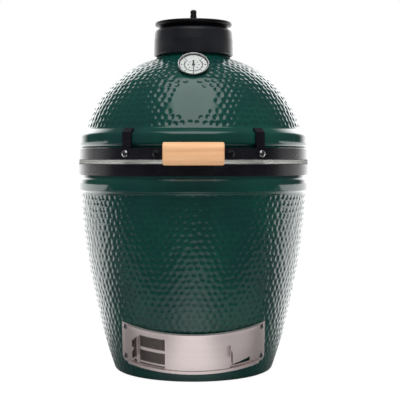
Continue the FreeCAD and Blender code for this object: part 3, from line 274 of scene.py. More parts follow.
def flap_painted_shade_material(name, sheet_radius, bright_band=None):
    """Brushed sheet whose bent flap, beyond sheet_radius of the draft parts' axis, is painted dark
    as painted shade for the dark room that it mirrors, but for a bright band of the plain sheet
    between two distances from the sheet."""
    n, lines = brushed_sheet(name)
    offset = Matrix.Rotation(-DRAFT_TILT, 4, "X") @ Vector((0, 0, -DRAFT_HEIGHT * MM))
    where = n.add("ShaderNodeTexCoord")
    local = n.add("ShaderNodeMapping", Location=tuple(offset), Rotation=LEAN)
    n.link(where.outputs["Object"], local.inputs["Vector"])
    split = n.add("ShaderNodeSeparateXYZ")
    n.link(local.outputs["Vector"], split.inputs[0])
    x, y = (Field(n.tree, split.outputs[axis]) for axis in "XY")
    radius = (x * x + y * y).math("SQRT")
    # Painted shade: the flap beyond the sheet gets the dark colour; the bright band keeps the sheet's own
    # colour.
    painted_flap_shade = radius.step((sheet_radius + 0.5) * MM, (sheet_radius + 1.0) * MM)
    if bright_band:
        start, end = ((sheet_radius + distance) * MM for distance in bright_band)
        band = radius.between((start, start + 1 * MM), (end - 1 * MM, end))
        painted_flap_shade = painted_flap_shade * (band * -1.0 + 1.0)
    n.colour(n.mix(painted_flap_shade.socket, n.mix(lines, SHEET_SHADE, SHEET_TINT), FLAP_PAINTED_SHADE))
    return n.material


def firebrick_material():
    """Pale refractory clay with grain and small pits."""
    n = Nodes("fire_clay")
    where = n.place()
    grain = n.noise(where, 70, 9, 0.7)
    n.colour(n.ramp(grain, [
        (0.28, (0.36, 0.27, 0.19)), (0.5, (0.55, 0.44, 0.33)), (0.75, (0.68, 0.58, 0.46))]))
    n.set(Roughness=0.92)
    n.bump(grain, 0.5, 0.001)
    return n.material


def cast_iron_material():
    """Seasoned cast iron with a sandy skin."""
    n = Nodes("seasoned_cast_iron")
    where = n.place()
    grain = n.noise(where, 420, 6, 0.7)
    n.colour(n.ramp(n.noise(where, 30, 5), [(0.3, (0.018, 0.017, 0.017)), (0.75, (0.045, 0.04, 0.037))]))
    n.roughness(n.span(grain, 0.5, 0.72))
    n.bump(grain, 0.45, 0.0005)
    n.set(Metallic=0.55)
    return n.material


def powder_material(name, colour, low, high, grain=700, strength=0.25, metallic=0.0, gloss=0.16):
    """Powder coat or satin paint: slight orange peel and uneven gloss."""
    n = Nodes(name)
    where = n.place()
    peel = n.noise(where, grain, 3)
    cloud = n.noise(where, 18, 5)
    lighter = tuple(min(1, c * 1.7 + 0.004) for c in colour)
    n.colour(n.ramp(cloud, [(0.35, colour), (0.8, lighter)]))
    n.roughness(n.span(cloud, low, high))
    n.bump(peel, strength, 0.0002)
    n.set(Metallic=metallic, Specular_IOR_Level=gloss)
    return n.material


def metal_material(name, colour, low, high):
    """Plated or polished metal with faint handling marks."""
    n = Nodes(name)
    cloud = n.noise(n.place(), 60, 6, 0.65)
    dark = tuple(c * 0.75 for c in colour)
    n.colour(n.ramp(cloud, [(0.3, dark), (0.7, colour)]))
    n.roughness(n.span(cloud, low, high))
    n.bump(n.noise(n.place(), 720, 2), 0.05, 0.0002)
    n.set(Metallic=1.0)
    return n.material


def felt_material():
    """Pressed grey felt: matted fibres with light and dark flecks."""
    n = Nodes("pressed_felt")
    fibres = n.noise(n.place((1, 1, 3)), 900, 5, 0.8, 1.5)
    tufts = n.noise(n.place(), 150, 5, 0.7)
    flecks = n.ramp(fibres, [
        (0.35, (0.46, 0.46, 0.43)), (0.55, (0.74, 0.74, 0.70)), (0.75, (0.92, 0.92, 0.88))])
    n.colour(n.mix(n.ramp(tufts, [(0.3, (0.75, 0.75, 0.75)), (0.7, WHITE)]), BLACK, flecks))
    n.bump(fibres, 0.8, 0.0012)
    n.set(Roughness=1.0, Sheen_Weight=0.4, Sheen_Roughness=0.6, Specular_IOR_Level=0.15)
    return n.material


def wood_material():
    """Oiled pale wood: long soft grain, fine fibres and short dark pores."""
    n = Nodes("oiled_wood")
    grain = n.noise(n.place((3, 26, 34)), 1.0, 4, 0.6, 0.8)
    streaks = n.noise(n.place((7, 160, 210)), 1.0, 5, 0.65, 0.4)
    fibre = n.noise(n.place((30, 900, 1200)), 1.0, 4, 0.7)
    pores = n.ramp(n.noise(n.place((70, 1500, 1500)), 1.0, 2), [(0.66, BLACK), (0.74, WHITE)])
    body = n.ramp(grain, [(0.3, WOOD_DARK), (0.5, WOOD_MID), (0.68, WOOD_LIGHT)])
    streaked = n.mix(n.ramp(streaks, [(0.42, BLACK), (0.7, (0.55, 0.55, 0.55))]), body, WOOD_DARK)
    fibred = n.mix(n.span(fibre, 0.0, 0.35), streaked, WOOD_LIGHT)
    n.colour(n.mix(n.mix(0.7, pores, BLACK), fibred, WOOD_PORE))
    n.roughness(n.span(fibre, 0.38, 0.55))
    n.bump(fibre, 0.22, 0.0004)
    n.set(Specular_IOR_Level=0.4)
    return n.material


def plain_material(name, colour, rough, speck=0.08):
    """Enamel, silicone or print with a fine unevenness."""
    n = Nodes(name)
    cloud = n.noise(n.place(), 500, 4)
    dark = tuple(c * (1 - speck) for c in colour)
    n.colour(n.ramp(cloud, [(0.35, dark), (0.65, colour)]))
    n.roughness(n.span(cloud, rough - 0.06, rough + 0.06))
    n.bump(cloud, 0.08, 0.0002)
    return n.material


def glass_material():
    """Clear dial glass, thin enough that only its gloss shows."""
    n = Nodes("dial_glass")
    smudge = n.noise(n.place(), 120, 3)
    n.roughness(n.span(smudge, 0.01, 0.05))
    n.set(Alpha=0.1, IOR=1.45, Base_Color=(0.02, 0.022, 0.022, 1))
    return n.material


LOOKS = {
    "glaze": glaze_material(),
    "firebrick": firebrick_material(),
    "cast_iron": cast_iron_material(),
    "stainless": stainless_material(),
    "door_stainless": flap_painted_shade_material("door_stainless", DOOR_RADIUS, (5, 9.5)),
    "screen_stainless": flap_painted_shade_material("screen_stainless", SCREEN_RADIUS),
    "rod_steel": metal_material("drawn_stainless", (0.62, 0.60, 0.57), 0.2, 0.38),
    "black_steel": powder_material("black_powder_coat", (0.0036, 0.003, 0.0056), 0.22, 0.32, gloss=0.3),
    "felt": felt_material(),
    "spring_steel": powder_material("oiled_spring_steel", (0.012, 0.012, 0.013), 0.28, 0.42, metallic=0.7),
    "zinc": metal_material("zinc_plate", (0.55, 0.55, 0.56), 0.22, 0.42),
    "bezel_steel": metal_material("satin_bezel_steel", (0.86, 0.86, 0.85), 0.28, 0.4),
    "bolt_steel": metal_material("bolt_steel", (0.30, 0.29, 0.30), 0.16, 0.28),
    "wood": wood_material(),
    "cap_black": powder_material("satin_cap_paint", (0.0075, 0.008, 0.0105), 0.36, 0.46, grain=420,
                                 strength=0.3, gloss=0.3),
    "plate_black": powder_material("dense_cap_paint", (0.0026, 0.0026, 0.0036), 0.34, 0.46, grain=420,
                                   gloss=0.1),
    "seal": plain_material("black_silicone", (0.01, 0.01, 0.01), 0.6),
    "dial_white": plain_material("dial_enamel", (0.66, 0.69, 0.67), 0.45, 0.03),
    "lens_glass": glass_material(),
    "pointer_black": plain_material("black_enamel", (0.01, 0.01, 0.012), 0.35),
    "mesh_steel": metal_material("ember_mesh_steel", (0.085, 0.062, 0.058), 0.4, 0.6),
    "dial_print": plain_material("dial_print_black", (0.012, 0.013, 0.014), 0.5),
}


def dress(thing, look):
    """Give an object one material."""
    thing.data.materials.clear()
    thing.data.materials.append(LOOKS[look])


# ================================================================ mesh building
def new_object(name, points, faces, look):
    """A smooth mesh object with one material, from points in metres."""
    mesh = bpy.data.meshes.new(name)
    mesh.from_pydata([tuple(p) for p in points], [], faces)
    mesh.validate()
    mesh.update()
    mesh.shade_smooth()
    thing = bpy.data.objects.new(name, mesh)
    bpy.context.scene.collection.objects.link(thing)
    dress(thing, look)
    return thing


def new_piece(name, points, faces, look, body, replaces=()):
    """A mesh piece that rides on a CAD body."""
    piece = new_object(name, points, faces, look)
    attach(piece, body)
    if replaces:
        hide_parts(*replaces)
    return piece


def ring_points(radius, height, count):
    """Points of a level circle round the axis, starting at the front."""
    angle = np.arange(count) * (2 * math.pi / count)
    return np.stack([radius * np.sin(angle), -radius * np.cos(angle), np.full(count, height)], axis=1)


def bridge(a, count_a, b, count_b):
    """Faces between two rings, one of which may have several times the points of the other.
    a and b are the first points of the earlier and the later ring."""
    if count_a == count_b:
        return [(a + i, a + (i + 1) % count_a, b + (i + 1) % count_b, b + i) for i in range(count_a)]
    faces = []
    if count_a > count_b:
        many, few, start_many, start_few = count_a, count_b, a, b
    else:
        many, few, start_many, start_few = count_b, count_a, b, a
    step = many // few
    for k in range(few):
        near = start_few + k
        far = start_few + (k + 1) % few
        row = [start_many + (k * step + j) % many for j in range(step + 1)]
        half = step // 2
        triangles = [(row[j], row[j + 1], near) for j in range(half)]
        triangles += [(row[half], far, near)]
        triangles += [(row[j], row[j + 1], far) for j in range(half, step)]
        if count_a < count_b:
            triangles = [t[::-1] for t in triangles]
        faces += triangles
    return faces


def lathe(rings, closed=False):
    """Points and faces of a turned shape, and where each ring starts.  rings are (radius,
    height, count); radius 0 at either end is a pole.  With the radius drawn to the right and
    the height up, the outside is on the right of the path."""
    points = []
    starts = []
    for radius, height, count in rings:
        starts.append((len(points), count))
        if radius < 1e-7:
            points.append((0.0, 0.0, height))
            starts[-1] = (starts[-1][0], 1)
        else:
            points.extend(ring_points(radius, height, count))
    faces = []
    pairs = list(zip(starts, starts[1:]))
    if closed:
        pairs.append((starts[-1], starts[0]))
    for (a, count_a), (b, count_b) in pairs:
        if count_a == 1:
            faces += [(a, b + (i + 1) % count_b, b + i) for i in range(count_b)]
        elif count_b == 1:
            faces += [(a + i, a + (i + 1) % count_a, b) for i in range(count_a)]
        else:
            faces += bridge(a, count_a, b, count_b)
    return np.array(points), faces, starts


def arc_points(centre, radius, start, end, steps):
    """Points of an arc in the radius-height plane, angles in degrees."""
    angles = np.radians(np.linspace(start, end, steps + 1))
    return [(centre[0] + radius * math.cos(a), centre[1] + radius * math.sin(a)) for a in angles]


def rounded_path(corners, steps=3):
    """A path whose corners (radius, height, rounding) are replaced by small arcs."""
    path = []
    for i, corner in enumerate(corners):
        x, z = corner[0], corner[1]
        size = corner[2] if len(corner) > 2 else 0
        if not size or i in (0, len(corners) - 1):
            path.append((x, z))
            continue
        here = Vector((x, z))
        before = Vector(corners[i - 1][:2]) - here
        after = Vector(corners[i + 1][:2]) - here
        cut = min(size, before.length * 0.49, after.length * 0.49)
        start = here + before.normalized() * cut
        end = here + after.normalized() * cut
        for j in range(steps + 1):
            f = j / steps
            path.append(tuple(start * (1 - f) ** 2 + here * 2 * f * (1 - f) + end * f ** 2))
    return path


def sharpen(piece, degrees=38):
    """Keep the edges of a smooth piece crisp where it folds by more than an angle."""
    mesh = piece.data
    limit = math.radians(degrees)
    normals = [polygon.normal for polygon in mesh.polygons]
    faces_of = {}
    for polygon in mesh.polygons:
        for key in polygon.edge_keys:
            faces_of.setdefault(key, []).append(polygon.index)

    def folds(edge):
        pair = faces_of.get(edge.key, [])
        return len(pair) == 2 and normals[pair[0]].angle(normals[pair[1]], 0) > limit

    for index in [edge.index for edge in mesh.edges if folds(edge)]:
        mesh.edges[index].use_edge_sharp = True


def tube(points, radius, sides=6, closed=False):
    """A round tube along points; its two ends are capped unless it closes on itself."""
    line = [Vector(p) for p in points]
    count = len(line)
    verts = []
    up = None
    for i, here in enumerate(line):
        if closed:
            along = line[(i + 1) % count] - line[i - 1]
        else:
            along = line[min(i + 1, count - 1)] - line[max(i - 1, 0)]
        along.normalize()
        if up is None:
            up = along.orthogonal().normalized()
        up = (up - along * up.dot(along)).normalized()
        side = along.cross(up)
        for k in range(sides):
            a = 2 * math.pi * k / sides
            verts.append(here + (up * math.cos(a) + side * math.sin(a)) * radius)
    faces = []
    for i in range(count if closed else count - 1):
        a, b = i * sides, ((i + 1) % count) * sides
        faces += [(a + k, a + (k + 1) % sides, b + (k + 1) % sides, b + k) for k in range(sides)]
    if not closed:
        faces.append(tuple(range(sides))[::-1])
        faces.append(tuple((count - 1) * sides + k for k in range(sides)))
    return verts, faces


def joined(parts):
    """Several (points, faces) as one."""
    points = []
    faces = []
    for part_points, part_faces in parts:
        shift = len(points)
        points.extend(part_points)
        faces.extend(tuple(i + shift for i in face) for face in part_faces)
    return points, faces


def rounded_outline(half_width, half_height, corners, steps):
    """Outline of a box round the origin, with its four corner radii from lower left
    anticlockwise."""
    outline = []
    for x, y, start, radius in zip((-1, 1, 1, -1), (-1, -1, 1, 1), (180, 270, 0, 90), corners):
        for step in range(steps + 1):
            angle = math.radians(start + 90 * step / steps)
            outline.append((x * (half_width - radius) + radius * math.cos(angle),
                            y * (half_height - radius) + radius * math.sin(angle)))
    return outline


def prism(outline, low, high, place):
    """A straight body between two levels; place turns (across, up, level) into a point."""
    count = len(outline)
    points = [place(x, y, level) for level in (low, high) for x, y in outline]
    faces = [(i, (i + 1) % count, count + (i + 1) % count, count + i) for i in range(count)]
    faces += [tuple(range(count))[::-1], tuple(range(count, 2 * count))]
    return points, faces


# ================================================================ dimpled ceramic
# Sizes in millimetres.  The spacing of the rows and the scatter to the side are shares of the
# pitch, and the scatter in size is a share of the radius.
DIMPLE_PITCH = 13.4
DIMPLE_RADIUS = 5.7
DIMPLE_DEPTH = 1.15
DIMPLE_MARGIN = 8
DIMPLE_STEEPNESS = 1.25
ROW_SPACING = 0.88
SIDE_SCATTER = 0.10
HEIGHT_SCATTER = 1.0
SIZE_SCATTER = 0.06
DIAL_CLEARANCE = 36
OVAL_HEIGHT = 527
OVAL_HALF_WIDTH = 41
OVAL_HALF_HEIGHT = 33
ROUND = 600  # points round the glazed skin
COARSE = 150  # points round the inner skin


def arc_radius(arc, height, inset=0.0):
    """Distance from the axis of an arc (centre r, centre z, radius), moved inward by inset."""
    return arc[0] + math.sqrt((arc[2] - inset) ** 2 - (height - arc[1]) ** 2)


def arc_height(arc, radius, inset=0.0):
    """Height of an arc's upper part at a distance from the axis."""
    return arc[1] + math.sqrt((arc[2] - inset) ** 2 - (radius - arc[0]) ** 2)


def arc_rows(arc, low, high, step, inset=0.0):
    """Radius and height along an arc between two heights, evenly spaced."""
    radius = arc[2] - inset
    start = math.asin((low - arc[1]) / radius)
    end = math.asin((high - arc[1]) / radius)
    count = max(2, round(abs(end - start) * radius / step))
    angles = np.linspace(start, end, count + 1)
    return [(arc[0] + radius * math.cos(a), arc[1] + radius * math.sin(a)) for a in angles]


def dimple_centres(arc, low, high, seed):
    """Dimples in rows round an arc, each row a half step on from the last, a little uneven."""
    random = np.random.default_rng(seed)
    rows = arc_rows(arc, low, high, DIMPLE_PITCH * ROW_SPACING)
    centres = []
    turn = 0.0
    for radius, height in rows:
        count = round(2 * math.pi * radius / DIMPLE_PITCH)
        turn += math.pi / count
        angles = turn + np.arange(count) * (2 * math.pi / count)
        angles += random.normal(0, SIDE_SCATTER, count) * (2 * math.pi / count)
        drop = random.normal(0, HEIGHT_SCATTER, count)
        heights = height + drop
        radii = [arc_radius(arc, h) for h in np.clip(heights, low, high)]
        centres += [(r * math.sin(a), -r * math.cos(a), h) for r, a, h in zip(radii, angles, heights)]
    return centres


def press_dimples(points, arc, low, high, centres, seed):
    """Sink the points of an arc's outer face into the dimples; returns how deep each lies."""
    random = np.random.default_rng(seed)
    sizes = DIMPLE_RADIUS * random.normal(1, SIZE_SCATTER, len(centres))
    tree = kdtree.KDTree(len(centres))
    for i, centre in enumerate(centres):
        tree.insert(centre, i)
    tree.balance()
    hollow = np.zeros(len(points))
    for i, point in enumerate(points):
        if not low - DIMPLE_MARGIN < point[2] < high + DIMPLE_MARGIN:
            continue
        depth = 0.0
        for _, index, distance in tree.find_n(point, 2):
            reach = distance / sizes[index]
            if reach < 1:
                depth = max(depth, (1 - reach * reach) ** DIMPLE_STEEPNESS)
        if depth > 0:
            away = math.hypot(point[0], point[1])
            normal_r = (away - arc[0]) / arc[2]
            normal_z = (point[2] - arc[1]) / arc[2]
            sink = DIMPLE_DEPTH * depth
            scale = (away - normal_r * sink) / away
            points[i] = (point[0] * scale, point[1] * scale, point[2] - normal_z * sink)
            hollow[i] = depth
    return hollow


def point_attribute(mesh, name, values):
    """Store one number per point for the materials."""
    layer = mesh.attributes.new(name, "FLOAT", "POINT")
    layer.data.foreach_set("value", np.asarray(values, dtype=np.float32))


def dimpled_shell(rings, closed, arc, low, high, centres, outer_rings, seed):
    """Points and faces of a shell from rings in millimetres, how deep each point lies in a
    dimple, and whether it is off the glaze, which covers the outer rings, first to last."""
    points, faces, starts = lathe(rings, closed)
    first = starts[outer_rings[0]][0]
    last = sum(starts[outer_rings[1]])
    hollow = np.zeros(len(points))
    outer = points[first:last].copy()
    hollow[first:last] = press_dimples(outer, arc, low, high, centres, seed)
    points[first:last] = outer
    inside = np.ones(len(points))
    inside[first:last] = 0
    return points, faces, hollow, inside


def glazed_piece(name, points, faces, hollow, inside, node, body):
    """The finished ceramic piece, with the two numbers that its material reads."""
    piece = new_piece(name, points * MM, faces, "glaze", body, (node,))
    point_attribute(piece.data, "hollow", hollow)
    point_attribute(piece.data, "inside", inside)
    return piece


def build_dome():
    """The dome with its neck, rim and dimples, and the boss under the thermometer."""
    rim = rounded_path([
        (226.0, DOME_BOTTOM), (227.5, DOME_BOTTOM, 1.0), (227.5, 443, 1.5), (RIM_RADIUS, 449, 2.5),
        (RIM_RADIUS, 468, 4.0), (219.6, 478.4, 3.0), (218.0, 481.5)], 4)
    skin = arc_rows(DOME_ARC, 482.5, 618.5, 1.95)
    neck = arc_points((NECK_RADIUS + NECK_FILLET, 630.35), NECK_FILLET, 254, 180, 6)
    top = rounded_path([(NECK_RADIUS, 634), (NECK_RADIUS, NECK_TOP, 2.0), (CHIMNEY_RADIUS + 2, NECK_TOP)], 3)
    throat = arc_height(DOME_ARC, CHIMNEY_RADIUS, DOME_WALL)
    inner = [(CHIMNEY_RADIUS, NECK_TOP - 2), (CHIMNEY_RADIUS, 640), (CHIMNEY_RADIUS, throat)]
    inner += arc_rows(DOME_ARC, throat - 2, DOME_BOTTOM + 1, 12, DOME_WALL)
    glazed = rim + skin + neck + top
    rings = [(arc_radius(DOME_ARC, DOME_BOTTOM, DOME_WALL), DOME_BOTTOM, COARSE)]
    rings += [(r, z, ROUND) for r, z in glazed]
    rings += [(r, z, COARSE) for r, z in inner]
    centres = [c for c in dimple_centres(DOME_ARC, 486, 616, 11) if keeps_dimple(c)]
    points, faces, hollow, inside = dimpled_shell(
        rings, True, DOME_ARC, 484, 618, centres, (1, len(glazed)), 5)
    boss_radius = 21
    boss_back = -25
    boss_front = -CASE_DEPTH - 0.1
    boss, boss_faces, _ = lathe([(r, z, 64) for r, z in (
        (0, boss_back), (boss_radius, boss_back), (boss_radius, boss_front), (0, boss_front))])
    place = Matrix.Translation(DIAL_CENTRE) @ DIAL_TURN
    points, faces = joined([(list(points), faces), ([place @ Vector(p) for p in boss], boss_faces)])
    glazed_points = np.zeros(len(boss))
    glazed_piece("glazed_dome", np.array(points), faces, np.concatenate([hollow, glazed_points]),
                 np.concatenate([inside, glazed_points]), "dome_shell", "lid")


def keeps_dimple(centre):
    """No dimples close to the thermometer or in the smooth oval at the dome's front."""
    x, y, z = centre
    if y >= 0:
        return True
    away = math.hypot(x - DIAL_CENTRE.x, z - DIAL_CENTRE.z)
    oval = (x / OVAL_HALF_WIDTH) ** 2 + ((z - OVAL_HEIGHT) / OVAL_HALF_HEIGHT) ** 2
    return away >= DIAL_CLEARANCE and oval >= 1


def seat_draft_frame(points, hollow):
    """Flatten the ceramic under the draft frame onto the frame's leaning cylinder."""
    seat_angle = 48
    seat_half_height = 41.5
    outer_skin = 180
    front_side = -60
    highest = 170
    back = DRAFT_FRAME.inverted()
    for i, point in enumerate(points):
        if point[1] > front_side or point[2] > highest:
            continue
        local = back @ Vector(point)
        azimuth = abs(math.degrees(math.atan2(local.x, -local.y)))
        radius = math.hypot(local.x, local.y)
        if azimuth < seat_angle and abs(local.z) < seat_half_height and radius > outer_skin:
            shrink = min(1, SEAT_RADIUS / radius)
            points[i] = DRAFT_FRAME @ Vector((local.x * shrink, local.y * shrink, local.z))
            hollow[i] = 0


def build_base():
    """The base with its foot, rim, dimples and draft port."""
    foot = arc_points((151.2, 9.0), 9.0, -90, -14, 4)
    side = arc_rows(SIDE_ARC, 9.5, 353.5, 2.37)
    rim = rounded_path([
        (227.2, 354), (228.4, 357.5, 2.0), (RIM_RADIUS, 360, 2.5), (RIM_RADIUS, 381, 2.5),
        (229.3, 385, 1.5), (229.3, BASE_TOP, 1.5), (226, BASE_TOP)], 3)
    inner = [(214, BASE_TOP), (arc_radius(SIDE_ARC, 409.5, BASE_WALL), 409.5)]
    inner += arc_rows(SIDE_ARC, 404, 40, 20, BASE_WALL)
    inner += [(147, 30), (138, 22.5), (130, BASE_FLOOR), (80, BASE_FLOOR), (0, BASE_FLOOR)]
    glazed = foot + side + rim
    rings = [(0, 0, COARSE), (70, 0, COARSE), (146, 0, COARSE)]
    rings += [(r, z, ROUND) for r, z in glazed]
    rings += [(r, z, COARSE) for r, z in inner]
    centres = dimple_centres(SIDE_ARC, 19, 349, 23)
    points, faces, hollow, inside = dimpled_shell(
        rings, False, SIDE_ARC, 12, 352, centres, (3, 2 + len(glazed)), 7)
    seat_draft_frame(points, hollow)
    piece = glazed_piece("glazed_base", points, faces, hollow, inside, "base_shell", "base")
    cut_port(piece)


def cut_port(piece):
    """Cut the draft port through the base's wall."""
    half_width = PORT_RADIUS * math.sin(math.radians(17))
    half_height = 25
    corner = 10
    outside, inside = -215, -137
    outline = rounded_outline(half_width, half_height, [corner] * 4, 4)
    points, faces = prism(outline, outside, inside,
                          lambda x, z, y: DRAFT_FRAME @ Vector((x, y, z)) * MM)
    mesh = bpy.data.meshes.new("port_cutter")
    mesh.from_pydata([tuple(p) for p in points], [], faces)
    cutter = bpy.data.objects.new("port_cutter", mesh)
    bpy.context.scene.collection.objects.link(cutter)
    modifier = piece.modifiers.new("port", "BOOLEAN")
    modifier.operation = "DIFFERENCE"
    modifier.solver = "EXACT"
    modifier.object = cutter
    bpy.context.view_layer.update()
    result = bpy.data.meshes.new_from_object(piece.evaluated_get(bpy.context.evaluated_depsgraph_get()))
    piece.modifiers.clear()
    old = piece.data
    piece.data = result
    bpy.data.meshes.remove(old)
    bpy.data.objects.remove(cutter)
    bpy.data.meshes.remove(mesh)


# ================================================================ handle
def build_grip():
    """The wooden grip: a long block with soft corners and eased ends."""
    low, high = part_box("handle_grip")
    centre = (low + high) / 2
    half = (high - low) / 2
    corner_radii = (11 * MM, 6 * MM, 6 * MM, 11 * MM)
    least_radius = 1 * MM
    ease = 3.2 * MM

    def section(x, inset):
        """Corner-rounded outline at x, shrunk by inset, seen along X."""
        radii = [max(radius - inset, least_radius) for radius in corner_radii]
        outline = rounded_outline(half.y - inset, half.z - inset, radii, 8)
        return [(x, centre.y + y, centre.z + z) for y, z in outline]

    profile = [(-half.x + ease * (1 - math.cos(a)), ease * (1 - math.sin(a)))
               for a in np.radians(range(0, 91, 18))]
    profile += [(-half.x * f, 0) for f in (0.8, 0.5, 0.2)]
    profile += [(-x, inset) for x, inset in reversed(profile)]
    rings = [section(x, inset) for x, inset in profile]
    count = len(rings[0])
    points = [p for ring in rings for p in ring]
    faces = []
    for i in range(len(rings) - 1):
        a, b = i * count, (i + 1) * count
        faces += [(a + k, b + k, b + (k + 1) % count, a + (k + 1) % count) for k in range(count)]
    for ring_index, x in ((0, -half.x), (len(rings) - 1, half.x)):
        middle = len(points)
        points.append((x, centre.y, centre.z))
        start = ring_index * count
        fan = [(start + k, start + (k + 1) % count, middle) for k in range(count)]
        faces += fan if ring_index == 0 else [f[::-1] for f in fan]
    new_piece("wooden_grip", points, faces, "wood", "lid", ("handle_grip",))


# ================================================================ ember mesh and springs
def draft_point(radius, azimuth, height):
    """A point on a cylinder round the draft parts' axis, in metres; azimuth in degrees."""
    a = math.radians(azimuth)
    return DRAFT_FRAME @ Vector((radius * math.sin(a), -radius * math.cos(a), height)) * MM


def build_ember_mesh():
    """Woven wires in the two windows of the ember screen."""
    pitch = 2.1
    wire = 0.32
    swing = 0.3
    left, right = -32.6, 0.1
    window_low, window_high = 2.9, 26.1
    pitch_angle = math.degrees(pitch / MESH_RADIUS)
    uprights = int((right - left) / pitch_angle)
    levels = int((window_high - window_low) / pitch)
    parts = []

    def weave(side, crossings, place):
        """One wire, which passes the crossing ones on either side in turn."""
        points = []
        for k in range(crossings * 2 + 1):
            points.append(place(MESH_RADIUS + side * swing * math.cos(math.pi * k / 2), k / 2))
        parts.append(tube(points, wire * MM, 5))

    for low in (-window_high, window_low):
        for row in range(levels + 1):
            weave((-1) ** row, uprights, lambda radius, k: draft_point(
                radius, left + k * pitch_angle, low + row * pitch))
        for column in range(uprights + 1):
            weave(-(-1) ** column, levels, lambda radius, k: draft_point(
                radius, left + column * pitch_angle, low + k * pitch))
    points, faces = joined(parts)
    new_piece("woven_ember_mesh", points, faces, "mesh_steel", "ember_screen", ("ember_mesh",))


def build_springs():
    """Lift springs round the hinge pin: the inner leg bears on the lower bracket and the
    outer leg on the upper one, so the coils wind up as the dome turns."""
    low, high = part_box("hinge_pin")
    axis_y = (low.y + high.y) / 2
    axis_z = (low.z + high.z) / 2
    coil = 10.5 * MM
    wire = 2.4 * MM
    leg = 17 * MM
    leg_rise = coil * 1.2
    leg_steps = 6
    turns = 7
    coil_steps = turns * 28
    for side, name in ((-1, "left"), (1, "right")):
        node = "hinge_spring_" + name
        box_low, box_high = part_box(node)
        ends = (box_low.x, box_high.x)[::side]
        inner_x = ends[0] + side * wire
        outer_x = ends[1] - side * wire
        points = [(inner_x, axis_y - leg * (1 - k / leg_steps), axis_z - coil) for k in range(leg_steps)]
        for k in range(coil_steps + 1):
            f = k / coil_steps
            angle = side * 2 * math.pi * turns * f - math.pi / 2
            points.append((inner_x + (outer_x - inner_x) * f, axis_y + coil * math.cos(angle),
                           axis_z + coil * math.sin(angle)))
        x, y, z = points[-1]
        for k in range(1, leg_steps + 1):
            points.append((x, y - leg * k / leg_steps, z + leg_rise * k / leg_steps))
        verts, faces = tube(points, wire, 10)
        piece = new_object("lift_spring_" + name, verts, faces, "spring_steel")
        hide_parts(node)
        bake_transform(piece)


# ================================================================ felt rings and knob
def build_felt_ring(name, node, body, outer_edge, seed):
    """A pressed felt ring with soft corners, whose outer edge wavers a little and stands
    outer_edge millimetres beyond the CAD ring."""
    width = 15.5
    waver = 0.12 * MM
    wavering_edge = 3
    low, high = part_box(node)
    outer = high.x / MM + outer_edge
    inner = outer - width
    bottom, top = low.z / MM, high.z / MM
    path = rounded_path([
        (inner, top), (inner, bottom, 1.2), (outer, bottom, 1.6), (outer + 0.3, (bottom + top) / 2, 1.0),
        (outer, top, 1.6), (inner, top)], 3)[:-1]
    points, faces, _ = lathe([(r * MM, z * MM, ROUND) for r, z in path], True)
    random = np.random.default_rng(seed)
    grown = random.normal(0, waver, (len(path), ROUND))
    grown = (grown + np.roll(grown, 1, 1) + np.roll(grown, -1, 1)) / 2
    away = np.hypot(points[:, 0], points[:, 1])
    grown = np.where(away > (outer - wavering_edge) * MM, grown.ravel(), 0)
    points[:, :2] *= ((away + grown) / away)[:, None]
    new_piece(name, points, faces, "felt", body, (node,))


def build_knob():
    """The cap's knob: stacked ribs, widest in the middle, on its stud."""
    ribs = 5
    bore = 3.2
    end_radius = 4.6
    widest = 7.3
    taper = 1.3
    rib = 1.5
    groove = 0.6
    low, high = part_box("knob_grip")
    bottom, top = low.z / MM, high.z / MM
    pitch = (top - bottom) / ribs
    path = [(bore, bottom), (end_radius, bottom)]
    for i in range(ribs):
        middle = bottom + pitch * (i + 0.5)
        swell = widest - taper * ((i + 0.5) / ribs * 2 - 1) ** 2
        path += arc_points((swell - rib, middle), rib, -70, 70, 6)
        path.append((swell - rib - groove, middle + pitch / 2))
    path[-1] = (end_radius, top)
    path.append((bore, top))
    points, faces, _ = lathe([(r * MM, z * MM, 64) for r, z in path], True)
    piece = new_piece("ribbed_knob", points, faces, "cap_black", "vent_rotor", ("knob_grip",))
    sharpen(piece, 50)


# ================================================================ thermometer
SCALE_START = 45  # degrees clockwise from the dial's top
PRINT_LOW, PRINT_HIGH = -4.24, -4.06
POINTER_LEVEL = -3.5


def on_dial(x, y, z):
    """A point of the thermometer's frame, from millimetres."""
    return DIAL_FRAME @ (Vector((x, y, z)) * MM)


def dial_ring(name, corners, look, node, count, steps):
    """A ring turned about the dial's axis from rounded corners in millimetres."""
    points, faces, _ = lathe([(r, z, count) for r, z in rounded_path(corners, steps)], True)
    piece = new_piece(name, [on_dial(*p) for p in points], faces, look, "lid", (node,))
    sharpen(piece)


def dial_bar(inner, outer, width, azimuth):
    """A flat printed bar that points at the dial's centre."""
    turn = Matrix.Rotation(-math.radians(azimuth), 2)
    half = width / 2
    corners = ((-half, inner), (half, inner), (half, outer), (-half, outer))
    return prism([turn @ Vector(corner) for corner in corners], PRINT_LOW, PRINT_HIGH, on_dial)


def build_thermometer():
    """The dial with its printed scale, in a rolled bezel."""
    dial_ring("rolled_bezel", [
        (26.5, -4.1), (27.9, 0.3, 0.3), (28.4, 0.5, 0.2), (29, -0.3, 0.5), (29, -2.4, 0.3),
        (28.15, -2.4), (28.0, -4.1)], "bezel_steel", "thermometer_bezel", 128, 4)
    dial_ring("dial_face", [(1.6, -4.8), (1.6, -4.2), (25.9, -4.2), (25.9, -4.8)],
              "dial_white", "thermometer_dial", 96, 2)
    bars = []
    for count, degrees, inner, outer, width in (
            (19, 15, 17.2, 19.0, 0.9), (7, 45, 20.6, 23.6, 1.7), (91, 3, 16.0, 17.4, 0.95),
            (7, 45, 8.6, 11.4, 1.6)):
        bars += [dial_bar(inner, outer, width, SCALE_START + i * degrees) for i in range(count)]
    points, faces = joined(bars)
    scale = new_piece("dial_scale", points, faces, "dial_print", "lid")
    scale.data.shade_flat()


